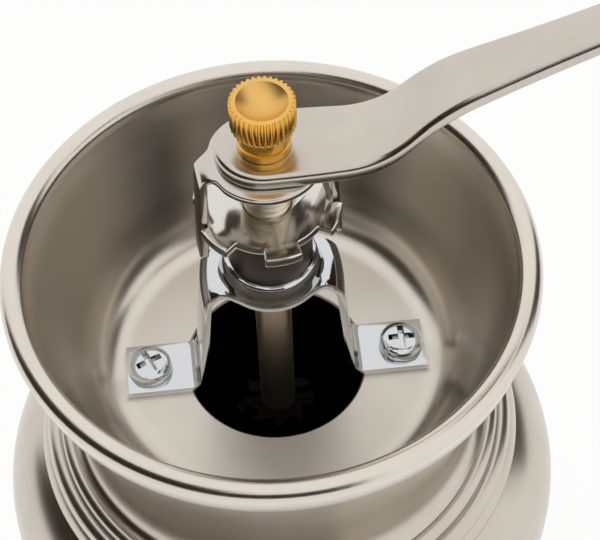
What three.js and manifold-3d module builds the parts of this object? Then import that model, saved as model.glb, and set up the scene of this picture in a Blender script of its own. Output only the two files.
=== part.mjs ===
// A manual coffee grinder: a round steel cup, an upper body with the hopper bowl and the burr set,
// a bridge that carries the shaft, an adjusting wheel with its lock plate, and a crank with a knob.
// Millimetres, +Z up, the worktop at z = 0 and the shaft's axis on x = 0, y = 0.
// The bridge lies along X and the crank points along +X at rest.
import * as THREE from "three";
import { mergeVertices } from "three/addons/utils/BufferGeometryUtils.js";
import Module from "manifold-3d";

const wasm = await Module();
wasm.setup();

// Driving dimensions
const rimPlaneHeight = 122;
const rimRadius = 46;
const bellyRadius = 53.4;
const throatShare = 0.35326;
const throatRadius = rimRadius * throatShare;
const shaftRadius = 3.2;
const threadRadius = 3.9;
const threadPitch = 1.25;
const crankRadius = 59;
const lockAzimuth = THREE.MathUtils.degToRad(7.5);

// Clearances and cutting
const slidingClearance = 0.1;
const runningClearance = 0.3;
const cutOverrun = 1;
const mergeTolerance = 1e-4;

// Counts of steps round a circle
const bodySteps = 40;
const ringSteps = 36;
const smallSteps = 24;
const threadSteps = 16;
const arcSteps = 5;

// Cup of grounds
const cup = {
  sheet: 1,
  cornerRadius: 4,
  upperBulgeRadius: 18,
  lowerBulgeRadius: 30,
  upperBulgeEndShare: 0.8833,
  lowerBulgeEndShare: 0.62,
  waistHeightShare: 0.425,
  baseInset: 13.4,
  waistInset: 0.4,
};
const mouthDrawInShare = 1 - Math.sqrt(1 - cup.upperBulgeEndShare ** 2);
const mouthOuterRadius = bellyRadius - cup.upperBulgeRadius * mouthDrawInShare;
const mouthInnerRadius = mouthOuterRadius - cup.sheet;

// Upper body shell: shoulder with three grooves and a concave neck
const shell = {
  sheet: 0.9,
  seamToRim: 49.6,
  seamGap: 0.3,
  seamOverhang: 1.06,
  beadHeight: 1.1,
  beadSwellShare: 0.33,
  grooveInsets: [0.9, 3.6, 6],
  grooveRises: [3.8, 6, 7.8],
  neckRadiusShare: 0.7783,
  neckBelowFloor: 2.5,
  topBelowRim: 3.4,
  topInset: 1.8,
};
const seamHeight = rimPlaneHeight - shell.seamToRim;
const seamRadius = mouthOuterRadius + shell.seamOverhang;
const bellyHeight = seamHeight - cup.upperBulgeRadius * cup.upperBulgeEndShare;

// Collar that plugs into the cup's mouth, with its seal
const collar = {
  wall: 1.8,
  plugDepth: 7,
  plugClearance: 0.6,
  rise: 2.2,
  sealRadius: 0.75,
  sealBelowMouth: 0.9,
  sealGap: 0.15,
};

// Hopper bowl with its rolled rim
const bowl = {
  sheet: 0.9,
  rollRadius: 2,
  lipHeight: 3.1,
  lipCurl: 1.5,
  lipCurlShare: 0.33,
  depth: 29.5,
  flatMargin: 0.6,
  wallRadiusShares: [0.6652, 0.7217, 0.7674, 0.8196, 0.8674],
  wallDepthShares: [0.956, 0.851, 0.695, 0.4745, 0.2373],
};
const bowlFloor = rimPlaneHeight - bowl.depth;
const bowlUnderside = bowlFloor - bowl.sheet;

// Bush in the bridge
const bush = { wall: 0.9, flangeWidth: 0.9, flangeHeight: 1.1 };
const bushBore = threadRadius + slidingClearance * 2;
const bushBarrel = bushBore + bush.wall;

// Bridge bracket over the throat
const bridge = {
  sheet: 1.3,
  width: 10.2,
  height: 29.5,
  shoulderReach: 11.1,
  ankleReach: 13.6,
  toeLength: 4.15,
  bendRadius: 2.6,
  shoulderRadius: 4.2,
  bossBrim: 1.3,
  bossHeight: 3.95,
  bossFillet: 0.9,
  flangeRound: 0.5,
};
const bridgeTop = bowlFloor + bridge.height;
const bossTop = bridgeTop + bridge.bossHeight;
const bossTopRadius = bushBarrel + bush.flangeWidth + bridge.sheet;
const bossRadius = bossTopRadius + bridge.bossBrim;

// M4 pan head screws of the bridge and their nuts
const bridgeScrew = {
  shankRadius: 1.9,
  headRadius: 4,
  headHeight: 2.5,
  headRim: 0.9,
  holeClearance: 0.3,
  recessLength: 4.4,
  recessWidth: 0.95,
  recessDepth: 1.3,
  nutRadius: 4.04,
  nutHeight: 3.2,
  nutGap: 0.46,
  tailLength: 1.4,
};

// Burr housing under the bowl
const housing = {
  flangeInset: 0.3,
  flangeHeight: 2.6,
  throatWall: 2.3,
  seatWall: 2.4,
  seatDrop: 11.9,
  roofHeight: 2.3,
  earLength: 6.6,
  earWidth: 12,
  earHeight: 6,
};
const throatOuter = throatRadius + housing.throatWall;
const screwReach = throatOuter + bridgeScrew.nutGap + bridgeScrew.nutRadius;
const footReach = screwReach + bridge.toeLength;
const flatRadius = footReach + bowl.flatMargin;
const seatHeight = bowlUnderside - housing.seatDrop;

// Ring burr, fixed in the housing, and the ring that holds it
const ringBurr = {
  seatStep: 4.15,
  height: 22,
  topGap: 0.2,
  boreRadiusShares: [0.9354, 0.8492, 0.8862, 1.0031],
  boreHeightShares: [1, 0.66, 0.38, 0],
  toothCount: 24,
  toothDepth: 0.8,
  twistStep: 0.12,
  retainerWidth: 3,
  retainerHeight: 1.3,
  retainerGap: 6,
};
const ringBurrRadius = throatRadius + ringBurr.seatStep;
const ringBurrTop = seatHeight - ringBurr.topGap;
const ringBurrBottom = ringBurrTop - ringBurr.height;
const seatInner = ringBurrRadius + slidingClearance;
const seatOuter = seatInner + housing.seatWall;
const earReach = seatOuter + housing.earLength;
const housingBottom = ringBurrBottom - ringBurr.retainerHeight - slidingClearance * 2;

// Inner burr on the shaft, with its drive pin, washer and nut
const innerBurr = {
  height: 22.5,
  radiusShares: [0.96, 0.7815, 0.6277, 0.4246],
  heightShares: [0, 0.38, 0.66, 1],
  fluteDepthShares: [0.0431, 0.0923, 0.1292, 0.1354],
  fluteCount: 9,
  twistShare: 0.9,
  pinRadius: 1.5,
  pinHalfLength: 6.6,
  pinBelowTop: 1.6,
  washerRadius: 8,
  washerHeight: 1.2,
  nutRadius: 5.77,
  nutHeight: 5,
};
const innerBurrBottom = ringBurrBottom;
const innerBurrTop = innerBurrBottom + innerBurr.height;
const burrNutBottom = innerBurrBottom - innerBurr.washerHeight - innerBurr.nutHeight;

// Bearing bar under the burrs, its bush and its M3 screws
const bar = {
  sheet: 1.5,
  width: 12,
  drop: 8.5,
  bendRadius: 2.2,
  footLength: 8.7,
  bushWall: 1,
  bushFlangeWidth: 1.2,
  bushFlangeHeight: 1.1,
  bushTail: 1,
  screwInset: 2.7,
  screwRadius: 1.45,
  screwHeadRadius: 2.8,
  screwHeadHeight: 1.8,
  screwCrownShare: 0.33,
  screwDepth: 5,
};
const barScrewReach = seatOuter + bar.screwInset;

// Lock plate: disc with two legs that drop into the wheel's notches
const lockPlate = {
  sheet: 1.2,
  discRadius: 9.3,
  rise: 10.4,
  legOuterReach: 12.2,
  legSheet: 1.7,
  legWidth: 5,
  legDrop: 10.1,
  bendRadius: 3.2,
};
const legInnerReach = lockPlate.legOuterReach - lockPlate.legSheet;

// Adjusting wheel: crown disc on a plain hub
const wheel = {
  hubRadius: 7.2,
  height: 13.55,
  discHeight: 1.8,
  toothRadius: 12.2,
  notchGap: 0.75,
  notchSideGap: 0.218,
  notchCount: 6,
  toothShares: [0, 0.25, 0.5, 0.75, 1],
};
const wheelTop = bossTop + wheel.height;
const plateBottom = wheelTop + lockPlate.rise;
const plateTop = plateBottom + lockPlate.sheet;

// Drive shaft: journal, thread, square and stud
const shaft = {
  endBelowBush: 0.3,
  journalBelowBridge: 0.6,
  lowerJournalRadius: 2.9,
  threadDepth: 0.55,
  squareSize: 5.4,
  squareClearance: 0.3,
  studRadius: 2.45,
  studHeight: 6.1,
  tipChamfer: 0.5,
};

// Crank arm: hub, rising bend, taper and eye
const arm = {
  sheet: 2.7,
  hubHalfWidth: 7.2,
  hubOverhang: 7.95,
  tipHalfWidth: 4,
  eyeRadius: 5,
  firstBendReach: 17.8,
  firstRun: 9.5,
  firstRise: 10,
  eyeBendInset: 6.5,
  eyeRise: 21.2,
  bendRadius: 13,
  upperBendRadius: 28,
  eyeBendRadius: 4,
};
const armTop = plateTop + arm.sheet;
const eyeTop = armTop + arm.eyeRise;

// Brass cap nut
const capNut = {
  neckRadius: 4.3,
  neckHeight: 4.6,
  grooveDepth: 0.45,
  grooveHeight: 0.7,
  grooveShare: 0.45,
  headRadius: 5.2,
  headHeight: 5.3,
  knurlDepth: 0.3,
  knurlCount: 30,
  dishRadius: 4,
  dishDepth: 1.5,
  dishRadiusShares: [0.5, 0.85],
  dishDepthShares: [0.82, 0.4],
  edgeRound: 0.4,
  boreClearance: 0.25,
  boreRoof: 1,
};

// Knob, its pin and washer
const knob = {
  height: 33,
  baseRadius: 7.6,
  waistRadius: 6.9,
  bulgeRadius: 13.6,
  footShares: [[0, 1], [0.1, 0.97], [0.24, 0.93]],
  flankHeightShares: [0.4, 0.42],
  bulgeHeightShare: 0.62,
  crownHeightShare: 0.86,
  crownRadiusShare: 0.7,
  ferruleHeight: 3.2,
  ferruleWall: 0.6,
  pinRadius: 2.5,
  pinClearance: 0.3,
  pinHeadRadius: 4.2,
  pinHeadHeight: 1.6,
  rivetRadius: 4,
  rivetHeight: 1.4,
  rivetCrownShare: 0.33,
  recessDepth: 2.6,
  recessClearance: 0.5,
  washerRadius: 6.4,
  washerHeight: 0.8,
};

// Materials
const satinSteel = new THREE.MeshStandardMaterial({ color: "#c8bfb2", metalness: 1, roughness: 0.34 });
const plate = new THREE.MeshStandardMaterial({ color: "#cfd3d6", metalness: 1, roughness: 0.12 });
const turnedSteel = new THREE.MeshStandardMaterial({ color: "#b9b2a6", metalness: 1, roughness: 0.25 });
const brass = new THREE.MeshStandardMaterial({ color: "#d9a63a", metalness: 1, roughness: 0.2 });
const bronze = new THREE.MeshStandardMaterial({ color: "#b07a45", metalness: 1, roughness: 0.35 });
const castMetal = new THREE.MeshStandardMaterial({ color: "#9b9a97", metalness: 0.9, roughness: 0.5 });
const burrSteel = new THREE.MeshStandardMaterial({ color: "#77736d", metalness: 1, roughness: 0.45 });
const plastic = new THREE.MeshStandardMaterial({ color: "#2b2927", metalness: 0, roughness: 0.55 });
const rubber = new THREE.MeshStandardMaterial({ color: "#3a3836", metalness: 0, roughness: 0.8 });
const wood = new THREE.MeshStandardMaterial({ color: "#4a2413", metalness: 0, roughness: 0.35 });

// Solid of a closed geometry, ready to be cut and joined
function toSolid(geometry) {
  const bare = geometry.clone();
  bare.deleteAttribute("normal");
  bare.deleteAttribute("uv");
  const merged = mergeVertices(bare, mergeTolerance);
  const places = merged.attributes.position.array;
  const corners = merged.index.array;
  const faces = [];
  let volume = 0;
  for (let i = 0; i < corners.length; i += 3) {
    const [a, b, c] = [corners[i], corners[i + 1], corners[i + 2]];
    if (a === b || b === c || c === a) continue;
    faces.push([a, b, c]);
    const [p, q, r] = [a, b, c].map((n) => new THREE.Vector3().fromArray(places, 3 * n));
    volume += p.dot(q.cross(r));
  }
  const outward = faces.map((face) => (volume < 0 ? face.toReversed() : face));
  const vertProperties = new Float32Array(places);
  const triVerts = new Uint32Array(outward.flat());
  return new wasm.Manifold(new wasm.Mesh({ numProp: 3, vertProperties, triVerts }));
}

// Geometry of a finished solid
function toGeometry(solid) {
  const { vertProperties, triVerts } = solid.getMesh();
  const geometry = new THREE.BufferGeometry();
  geometry.setAttribute("position", new THREE.BufferAttribute(vertProperties, 3));
  geometry.setIndex(new THREE.BufferAttribute(triVerts, 1));
  geometry.computeVertexNormals();
  return geometry;
}

// Solid of revolution about Z from a profile of [radius, height] points
function turned(profile, steps = ringSteps) {
  const points = [...profile, profile[0]].map(([r, z]) => new THREE.Vector2(r, z));
  return toSolid(new THREE.LatheGeometry(points, steps).rotateX(Math.PI / 2));
}

function ring(inner, outer, low, high, steps = ringSteps) {
  return turned([[inner, low], [outer, low], [outer, high], [inner, high]], steps);
}

function rod(radius, low, high, steps = smallSteps) {
  return turned([[0, low], [radius, low], [radius, high], [0, high]], steps);
}

function block(x0, x1, y0, y1, z0, z1) {
  const box = new THREE.BoxGeometry(x1 - x0, y1 - y0, z1 - z0);
  return toSolid(box.translate((x0 + x1) / 2, (y0 + y1) / 2, (z0 + z1) / 2));
}

// Flat plate from an outline of [x, y] points
function slab(outline, low, high) {
  const shape = new THREE.Shape(outline.map(([x, y]) => new THREE.Vector2(x, y)));
  const plate = new THREE.ExtrudeGeometry(shape, { depth: high - low, bevelEnabled: false });
  return toSolid(plate.translate(0, 0, low));
}

// Bent strip: an outline of [x, z] points, as wide as width along Y
function bent(outline, width) {
  const shape = new THREE.Shape(outline.map(([x, z]) => new THREE.Vector2(x, z)));
  const strip = new THREE.ExtrudeGeometry(shape, { depth: width, bevelEnabled: false });
  return toSolid(strip.translate(0, 0, -width / 2).rotateX(Math.PI / 2));
}

function hexagon(radius) {
  return Array.from({ length: 6 }, (_, i) => {
    const angle = (i * Math.PI) / 3;
    return [radius * Math.cos(angle), radius * Math.sin(angle)];
  });
}

// Points of an arc in a profile, from one angle to another
function arc(centre, radius, from, to, steps = arcSteps) {
  return Array.from({ length: steps + 1 }, (_, i) => {
    const angle = THREE.MathUtils.degToRad(from + ((to - from) * i) / steps);
    return [centre[0] + radius * Math.cos(angle), centre[1] + radius * Math.sin(angle)];
  });
}

// Rounds the inner corners of a path of [x, z] points with the radius given for each corner
function rounded(path, radii, steps = arcSteps) {
  const points = path.map(([x, z]) => new THREE.Vector2(x, z));
  const result = [path[0]];
  for (let i = 1; i < points.length - 1; i += 1) {
    const back = points[i - 1].clone().sub(points[i]).normalize();
    const ahead = points[i + 1].clone().sub(points[i]).normalize();
    const half = Math.acos(THREE.MathUtils.clamp(back.dot(ahead), -1, 1)) / 2;
    const radius = radii[i - 1];
    const middle = back.clone().add(ahead).normalize().multiplyScalar(radius / Math.sin(half)).add(points[i]);
    const start = back.clone().multiplyScalar(radius / Math.tan(half)).add(points[i]).sub(middle);
    const end = ahead.clone().multiplyScalar(radius / Math.tan(half)).add(points[i]).sub(middle);
    const turn = Math.atan2(start.x * end.y - start.y * end.x, start.dot(end));
    for (let n = 0; n <= steps; n += 1) {
      const spot = start.clone().rotateAround(new THREE.Vector2(), (turn * n) / steps).add(middle);
      result.push([spot.x, spot.y]);
    }
  }
  result.push(path.at(-1));
  return result;
}

// Outline of a strip that lies on both sides of a path
const leastMitreShare = 0.5;

function thickened(path, sheet) {
  const points = path.map(([x, z]) => new THREE.Vector2(x, z));
  const sides = points.map((point, i) => {
    const before = points[Math.max(i - 1, 0)];
    const after = points[Math.min(i + 1, points.length - 1)];
    const into = point.clone().sub(before).normalize();
    const out = after.clone().sub(point).normalize();
    const along = into.add(out).normalize();
    const straight = after.clone().sub(i > 0 ? point : before).normalize();
    const share = i > 0 && i < points.length - 1 ? Math.max(along.dot(straight), leastMitreShare) : 1;
    return new THREE.Vector2(-along.y, along.x).multiplyScalar(sheet / 2 / share);
  });
  const above = points.map((point, i) => point.clone().add(sides[i]).toArray());
  const below = points.map((point, i) => point.clone().sub(sides[i]).toArray());
  return [...above, ...below.reverse()];
}

// Outline of a round body with teeth or flutes, at a radius, turned by an angle
function toothedOutline(radius, depth, count, turn) {
  const depthShares = [1, 0, 0.25, 0.65];
  const steps = count * depthShares.length;
  return Array.from({ length: steps }, (_, i) => {
    const angle = (i / steps) * 2 * Math.PI + turn;
    const reach = radius - depth * depthShares[i % depthShares.length];
    return [reach * Math.cos(angle), reach * Math.sin(angle)];
  });
}

// Solid through a stack of outlines with the same number of points
function lofted(outlines, heights) {
  const count = outlines[0].length;
  const places = outlines.flatMap((outline, level) => outline.flatMap(([x, y]) => [x, y, heights[level]]));
  const faces = [];
  for (let level = 0; level < outlines.length - 1; level += 1) {
    for (let i = 0; i < count; i += 1) {
      const [a, b] = [level * count + i, level * count + ((i + 1) % count)];
      faces.push(a, b, b + count, a, b + count, a + count);
    }
  }
  const top = (outlines.length - 1) * count;
  places.push(0, 0, heights[0], 0, 0, heights.at(-1));
  const [lowCentre, highCentre] = [outlines.length * count, outlines.length * count + 1];
  for (let i = 0; i < count; i += 1) {
    faces.push(lowCentre, (i + 1) % count, i);
    faces.push(highCentre, top + i, top + ((i + 1) % count));
  }
  const geometry = new THREE.BufferGeometry();
  geometry.setAttribute("position", new THREE.Float32BufferAttribute(places, 3));
  geometry.setIndex(faces);
  return toSolid(geometry);
}

// Cup of grounds: flat base, gentle waist, belly, and a mouth at the seam
function cupOuter() {
  const upperCentre = [bellyRadius - cup.upperBulgeRadius, bellyHeight];
  const upperAngle = THREE.MathUtils.radToDeg(Math.asin(cup.upperBulgeEndShare));
  const lowerCentre = [bellyRadius - cup.lowerBulgeRadius, bellyHeight];
  const lowerAngle = THREE.MathUtils.radToDeg(Math.asin(cup.lowerBulgeEndShare));
  const end = arc(lowerCentre, cup.lowerBulgeRadius, -lowerAngle, -lowerAngle, 1)[0];
  const waistRadius = bellyRadius - cup.baseInset - cup.waistInset;
  const waistHeight = bellyHeight * cup.waistHeightShare;
  const middle = new THREE.QuadraticBezierCurve(
    new THREE.Vector2(...end),
    new THREE.Vector2(waistRadius, (end[1] + waistHeight) / 2),
    new THREE.Vector2(waistRadius, waistHeight - cup.cornerRadius),
  ).getPoints(arcSteps);
  const base = [waistRadius - cup.cornerRadius, cup.cornerRadius];
  return [
    ...arc(base, cup.cornerRadius, -90, 0, 4),
    ...middle.reverse().map((point) => point.toArray()),
    ...arc(lowerCentre, cup.lowerBulgeRadius, -lowerAngle, 0, 4).slice(1),
    ...arc(upperCentre, cup.upperBulgeRadius, 0, upperAngle, 6).slice(1),
  ];
}

// The same profile, drawn in by a sheet's thickness along its own normal
function drawnIn(profile, sheet) {
  return profile.map((point, i) => {
    const before = profile[Math.max(i - 1, 0)];
    const after = profile[Math.min(i + 1, profile.length - 1)];
    const along = new THREE.Vector2(after[0] - before[0], after[1] - before[1]).normalize();
    return [point[0] - along.y * sheet, point[1] + along.x * sheet];
  });
}

function groundsCup() {
  const outer = cupOuter();
  const inner = drawnIn(outer, cup.sheet);
  inner[0] = [outer[0][0], cup.sheet];
  const mouth = outer.at(-1);
  inner[inner.length - 1] = [mouth[0] - cup.sheet, mouth[1]];
  return turned([[0, 0], ...outer, ...inner.reverse(), [0, cup.sheet]], bodySteps);
}

// Upper shell: seam edge, beads between the grooves, neck, and the edge tucked under the rim
const shellTop = [rimRadius - shell.topInset, rimPlaneHeight - shell.topBelowRim];
const shellSwell = shell.beadHeight * shell.beadSwellShare;

function shellOuter() {
  const [r1, r2, r3] = shell.grooveInsets.map((inset) => seamRadius - inset);
  const [z1, z2, z3] = shell.grooveRises.map((rise) => seamHeight + rise);
  const bead = (from, to) => {
    const middle = [(from[0] + to[0] + shell.beadHeight) / 2, (from[1] + to[1]) / 2 + shell.beadHeight];
    return [from, [(from[0] + middle[0]) / 2 + shellSwell, (from[1] + middle[1]) / 2], middle];
  };
  const bottom = seamHeight + shell.seamGap;
  const neckRadius = rimRadius * shell.neckRadiusShare;
  const neckHeight = bowlFloor - shell.neckBelowFloor;
  const neck = new THREE.CubicBezierCurve(
    new THREE.Vector2(r3, z3),
    new THREE.Vector2(neckRadius - shell.beadHeight, z3 + shell.beadHeight),
    new THREE.Vector2(neckRadius - shell.beadHeight, neckHeight + shell.beadHeight),
    new THREE.Vector2((neckRadius + shellTop[0]) / 2, (neckHeight * 2 + shellTop[1]) / 3 + shell.beadHeight),
  ).getPoints(7);
  return [
    [seamRadius, bottom],
    [seamRadius + shellSwell, (bottom + z1) / 2],
    ...bead([r1, z1], [r2, z2]),
    ...bead([r2, z2], [r3, z3]),
    ...neck.map((point) => point.toArray()),
    shellTop,
  ];
}

function upperShell() {
  const outer = shellOuter();
  const inner = drawnIn(outer, shell.sheet);
  inner[0] = [outer[0][0] - shell.sheet, outer[0][1]];
  inner[inner.length - 1] = [shellTop[0] - shell.sheet, shellTop[1]];
  return turned([...outer, ...inner.reverse()], bodySteps);
}

// Collar: the upper step sits in the shell's edge and the lower one plugs the cup's mouth
function collarRing() {
  const plug = mouthInnerRadius - collar.plugClearance;
  const upper = seamRadius - shell.sheet - slidingClearance * 2;
  const inner = plug - collar.wall;
  const bottom = seamHeight - collar.plugDepth;
  const shoulder = seamHeight + shell.seamGap;
  const top = shoulder + collar.rise;
  const body = turned([[inner, bottom], [plug, bottom], [plug, shoulder], [upper, shoulder],
    [upper, (shoulder + top) / 2], [plug, top], [inner, top]], bodySteps);
  return body.subtract(sealTorus(runningClearance / 2, bodySteps));
}

function sealTorus(growth, steps) {
  const outer = mouthInnerRadius - collar.sealGap;
  const centre = [outer - collar.sealRadius, seamHeight - collar.sealBelowMouth];
  return turned(arc(centre, collar.sealRadius + growth, 0, 360, 8).slice(1), steps);
}

// Hopper bowl: floor with the throat hole, wall, rolled rim and turned-down lip
function hopperBowl() {
  const rollCentre = [rimRadius - bowl.rollRadius, rimPlaneHeight + runningClearance];
  const inside = bowl.rollRadius - bowl.sheet;
  const lipLow = rollCentre[1] - bowl.lipHeight;
  const lipInner = rimRadius - bowl.sheet;
  const wall = bowl.wallRadiusShares.map((share, i) =>
    [rimRadius * share, rimPlaneHeight - bowl.depth * bowl.wallDepthShares[i]]);
  const back = [[flatRadius, bowlFloor], ...wall, [rollCentre[0] - bowl.rollRadius, rollCentre[1]]];
  const under = drawnIn(back, -bowl.sheet);
  under[0] = [flatRadius, bowlUnderside];
  under[under.length - 1] = [rollCentre[0] - inside, rollCentre[1]];
  const profile = [
    [throatRadius, bowlUnderside],
    ...under,
    ...arc(rollCentre, inside, 180, 0, 6).slice(1),
    [lipInner, lipLow],
    [lipInner - bowl.lipCurl * bowl.lipCurlShare, lipLow - bowl.lipCurl],
    [rimRadius - bowl.lipCurl / 2, lipLow - bowl.lipCurl],
    [rimRadius, lipLow],
    ...arc(rollCentre, bowl.rollRadius, 0, 180, 8),
    ...wall.reverse(),
    [flatRadius, bowlFloor],
    [throatRadius, bowlFloor],
  ];
  return turned(profile, bodySteps).subtract(screwHoles(bowlUnderside, bowlFloor));
}

// Clearance holes of the two bridge screws, between two heights
function screwHoles(low, high) {
  const radius = bridgeScrew.shankRadius + bridgeScrew.holeClearance;
  const hole = rod(radius, low - cutOverrun, high + cutOverrun, smallSteps / 2);
  return hole.translate([screwReach, 0, 0]).add(hole.translate([-screwReach, 0, 0]));
}

// Bridge bracket: feet, splayed legs, strap and the raised boss with the bush's hole
function bridgeBracket() {
  const half = bridge.sheet / 2;
  const footLevel = bowlFloor + half;
  const strapLevel = bridgeTop - half;
  const side = [[footReach, footLevel], [bridge.ankleReach, footLevel], [bridge.shoulderReach, strapLevel]];
  const path = [...side, ...side.map(([x, z]) => [-x, z]).reverse()];
  const radii = [bridge.bendRadius, bridge.shoulderRadius, bridge.shoulderRadius, bridge.bendRadius];
  const strap = bent(thickened(rounded(path, radii), bridge.sheet), bridge.width);
  const bottom = bridgeTop - bridge.sheet;
  const dome = [
    [0, bottom],
    [bossRadius, bottom],
    [bossRadius, bridgeTop - bridge.flangeRound],
    [bossRadius - bridge.flangeRound, bridgeTop],
    [bossTopRadius + bridge.flangeRound, bridgeTop + bridge.flangeRound],
    [bossTopRadius, bossTop - bridge.bossFillet],
    [bossTopRadius - bridge.bossFillet, bossTop],
    [0, bossTop],
  ];
  const hollow = [
    [0, bottom - cutOverrun],
    [bossTopRadius - bridge.sheet / 2, bottom - cutOverrun],
    [bossTopRadius - bridge.sheet, bossTop - bridge.sheet],
    [0, bossTop - bridge.sheet],
  ];
  return strap
    .add(turned(dome))
    .subtract(turned(hollow))
    .subtract(rod(bushBarrel + slidingClearance, bottom, bossTop + cutOverrun))
    .subtract(screwHoles(bowlFloor, bowlFloor + bridge.sheet));
}

function bridgeBush() {
  const flangeTop = bossTop - bridge.sheet - slidingClearance;
  const flangeLow = flangeTop - bush.flangeHeight;
  const flange = bushBarrel + bush.flangeWidth;
  return turned([[bushBore, flangeLow], [flange, flangeLow], [flange, flangeTop],
    [bushBarrel, flangeTop], [bushBarrel, bossTop], [bushBore, bossTop]], smallSteps);
}

// Pan head screw with a cross recess
function bridgeScrewBody() {
  const seat = bowlFloor + bridge.sheet;
  const tip = bowlUnderside - housing.flangeHeight - bridgeScrew.nutHeight - bridgeScrew.tailLength;
  const top = seat + bridgeScrew.headHeight;
  const crown = new THREE.QuadraticBezierCurve(
    new THREE.Vector2(bridgeScrew.headRadius, seat + bridgeScrew.headRim),
    new THREE.Vector2(bridgeScrew.headRadius - bridgeScrew.headRim, top),
    new THREE.Vector2(0, top),
  ).getPoints(arcSteps);
  const body = turned([[0, tip], [bridgeScrew.shankRadius, tip], [bridgeScrew.shankRadius, seat],
    [bridgeScrew.headRadius, seat], ...crown.map((point) => point.toArray())], smallSteps);
  const slot = (length, width) =>
    block(-length / 2, length / 2, -width / 2, width / 2, top - bridgeScrew.recessDepth, top + cutOverrun);
  return body
    .subtract(slot(bridgeScrew.recessLength, bridgeScrew.recessWidth))
    .subtract(slot(bridgeScrew.recessWidth, bridgeScrew.recessLength));
}

function bridgeNut() {
  const high = bowlUnderside - housing.flangeHeight;
  const low = high - bridgeScrew.nutHeight;
  const bore = bridgeScrew.shankRadius + slidingClearance;
  return slab(hexagon(bridgeScrew.nutRadius), low, high)
    .subtract(rod(bore, low - cutOverrun, high + cutOverrun, smallSteps / 2));
}

// Burr housing: flange under the bowl, throat, seat for the ring burr and two ears below
function burrHousing() {
  const flangeLow = bowlUnderside - housing.flangeHeight;
  const flangeRadius = flatRadius - housing.flangeInset;
  const shoulder = seatHeight + housing.roofHeight;
  const body = turned([
    [throatRadius, bowlUnderside],
    [throatRadius, seatHeight],
    [seatInner, seatHeight],
    [seatInner, housingBottom],
    [seatOuter, housingBottom],
    [seatOuter, shoulder],
    [throatOuter, shoulder + (seatOuter - throatOuter) / 2],
    [throatOuter, flangeLow],
    [flangeRadius, flangeLow],
    [flangeRadius, bowlUnderside],
  ], ringSteps);
  const earHigh = housingBottom + housing.earHeight;
  const ears = block(-housing.earWidth / 2, housing.earWidth / 2, -earReach, earReach, housingBottom, earHigh)
    .subtract(rod(seatInner, housingBottom - cutOverrun, earHigh + cutOverrun, ringSteps));
  const hole = rod(bar.screwRadius + slidingClearance, housingBottom - cutOverrun,
    housingBottom + bar.screwDepth + slidingClearance, smallSteps / 2);
  return body
    .add(ears)
    .subtract(hole.translate([0, barScrewReach, 0]))
    .subtract(hole.translate([0, -barScrewReach, 0]))
    .subtract(screwHoles(flangeLow, bowlUnderside));
}

// Ring burr: round outside, toothed bore that narrows and then opens to the bottom
function ringBurrBody() {
  const heights = ringBurr.boreHeightShares.map((share) => ringBurrBottom + share * ringBurr.height);
  const outlines = ringBurr.boreRadiusShares.map((share, i) =>
    toothedOutline(throatRadius * share + ringBurr.toothDepth, ringBurr.toothDepth, ringBurr.toothCount,
      i * ringBurr.twistStep));
  heights[0] += cutOverrun;
  heights[heights.length - 1] -= cutOverrun;
  return rod(ringBurrRadius, ringBurrBottom, ringBurrTop, ringSteps)
    .subtract(lofted(outlines.reverse(), heights.reverse()));
}

// Open spring ring that holds the ring burr in its seat
function retainingRing() {
  const high = ringBurrBottom - slidingClearance;
  const low = high - ringBurr.retainerHeight;
  return ring(ringBurrRadius - ringBurr.retainerWidth, ringBurrRadius, low, high)
    .subtract(block(0, ringBurrRadius + cutOverrun, -ringBurr.retainerGap / 2, ringBurr.retainerGap / 2,
      low - cutOverrun, high + cutOverrun));
}

// Inner burr: fluted cone with the shaft's bore and a slot for the drive pin
function innerBurrBody() {
  const heights = innerBurr.heightShares.map((share) => innerBurrBottom + share * innerBurr.height);
  const outlines = innerBurr.radiusShares.map((share, i) =>
    toothedOutline(throatRadius * share, throatRadius * innerBurr.fluteDepthShares[i], innerBurr.fluteCount,
      innerBurr.heightShares[i] * innerBurr.twistShare));
  const slotHalf = innerBurr.pinRadius + slidingClearance;
  const slotFloor = innerBurrTop - innerBurr.pinBelowTop - slotHalf;
  return lofted(outlines, heights)
    .subtract(rod(shaftRadius + slidingClearance, innerBurrBottom - cutOverrun, innerBurrTop + cutOverrun))
    .subtract(block(-throatRadius, throatRadius, -slotHalf, slotHalf, slotFloor, innerBurrTop + cutOverrun));
}

function lying(radius, halfLength) {
  const cylinder = new THREE.CylinderGeometry(radius, radius, halfLength * 2, smallSteps / 2);
  return toSolid(cylinder.rotateZ(Math.PI / 2));
}

function drivePin() {
  return lying(innerBurr.pinRadius, innerBurr.pinHalfLength)
    .translate([0, 0, innerBurrTop - innerBurr.pinBelowTop]);
}

function burrWasher() {
  return ring(shaftRadius + slidingClearance, innerBurr.washerRadius, innerBurrBottom - innerBurr.washerHeight,
    innerBurrBottom, smallSteps);
}

function burrNut() {
  const high = innerBurrBottom - innerBurr.washerHeight;
  return slab(hexagon(innerBurr.nutRadius), burrNutBottom, high)
    .subtract(rod(shaftRadius + slidingClearance, burrNutBottom - cutOverrun, high + cutOverrun));
}

// Bearing bar: a bent strip across the housing's bottom that guides the shaft's end
const barTop = housingBottom - bar.drop;
const barBushBore = shaft.lowerJournalRadius + slidingClearance * 2;
const barBushBottom = barTop - bar.sheet - bar.bushTail;

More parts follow.
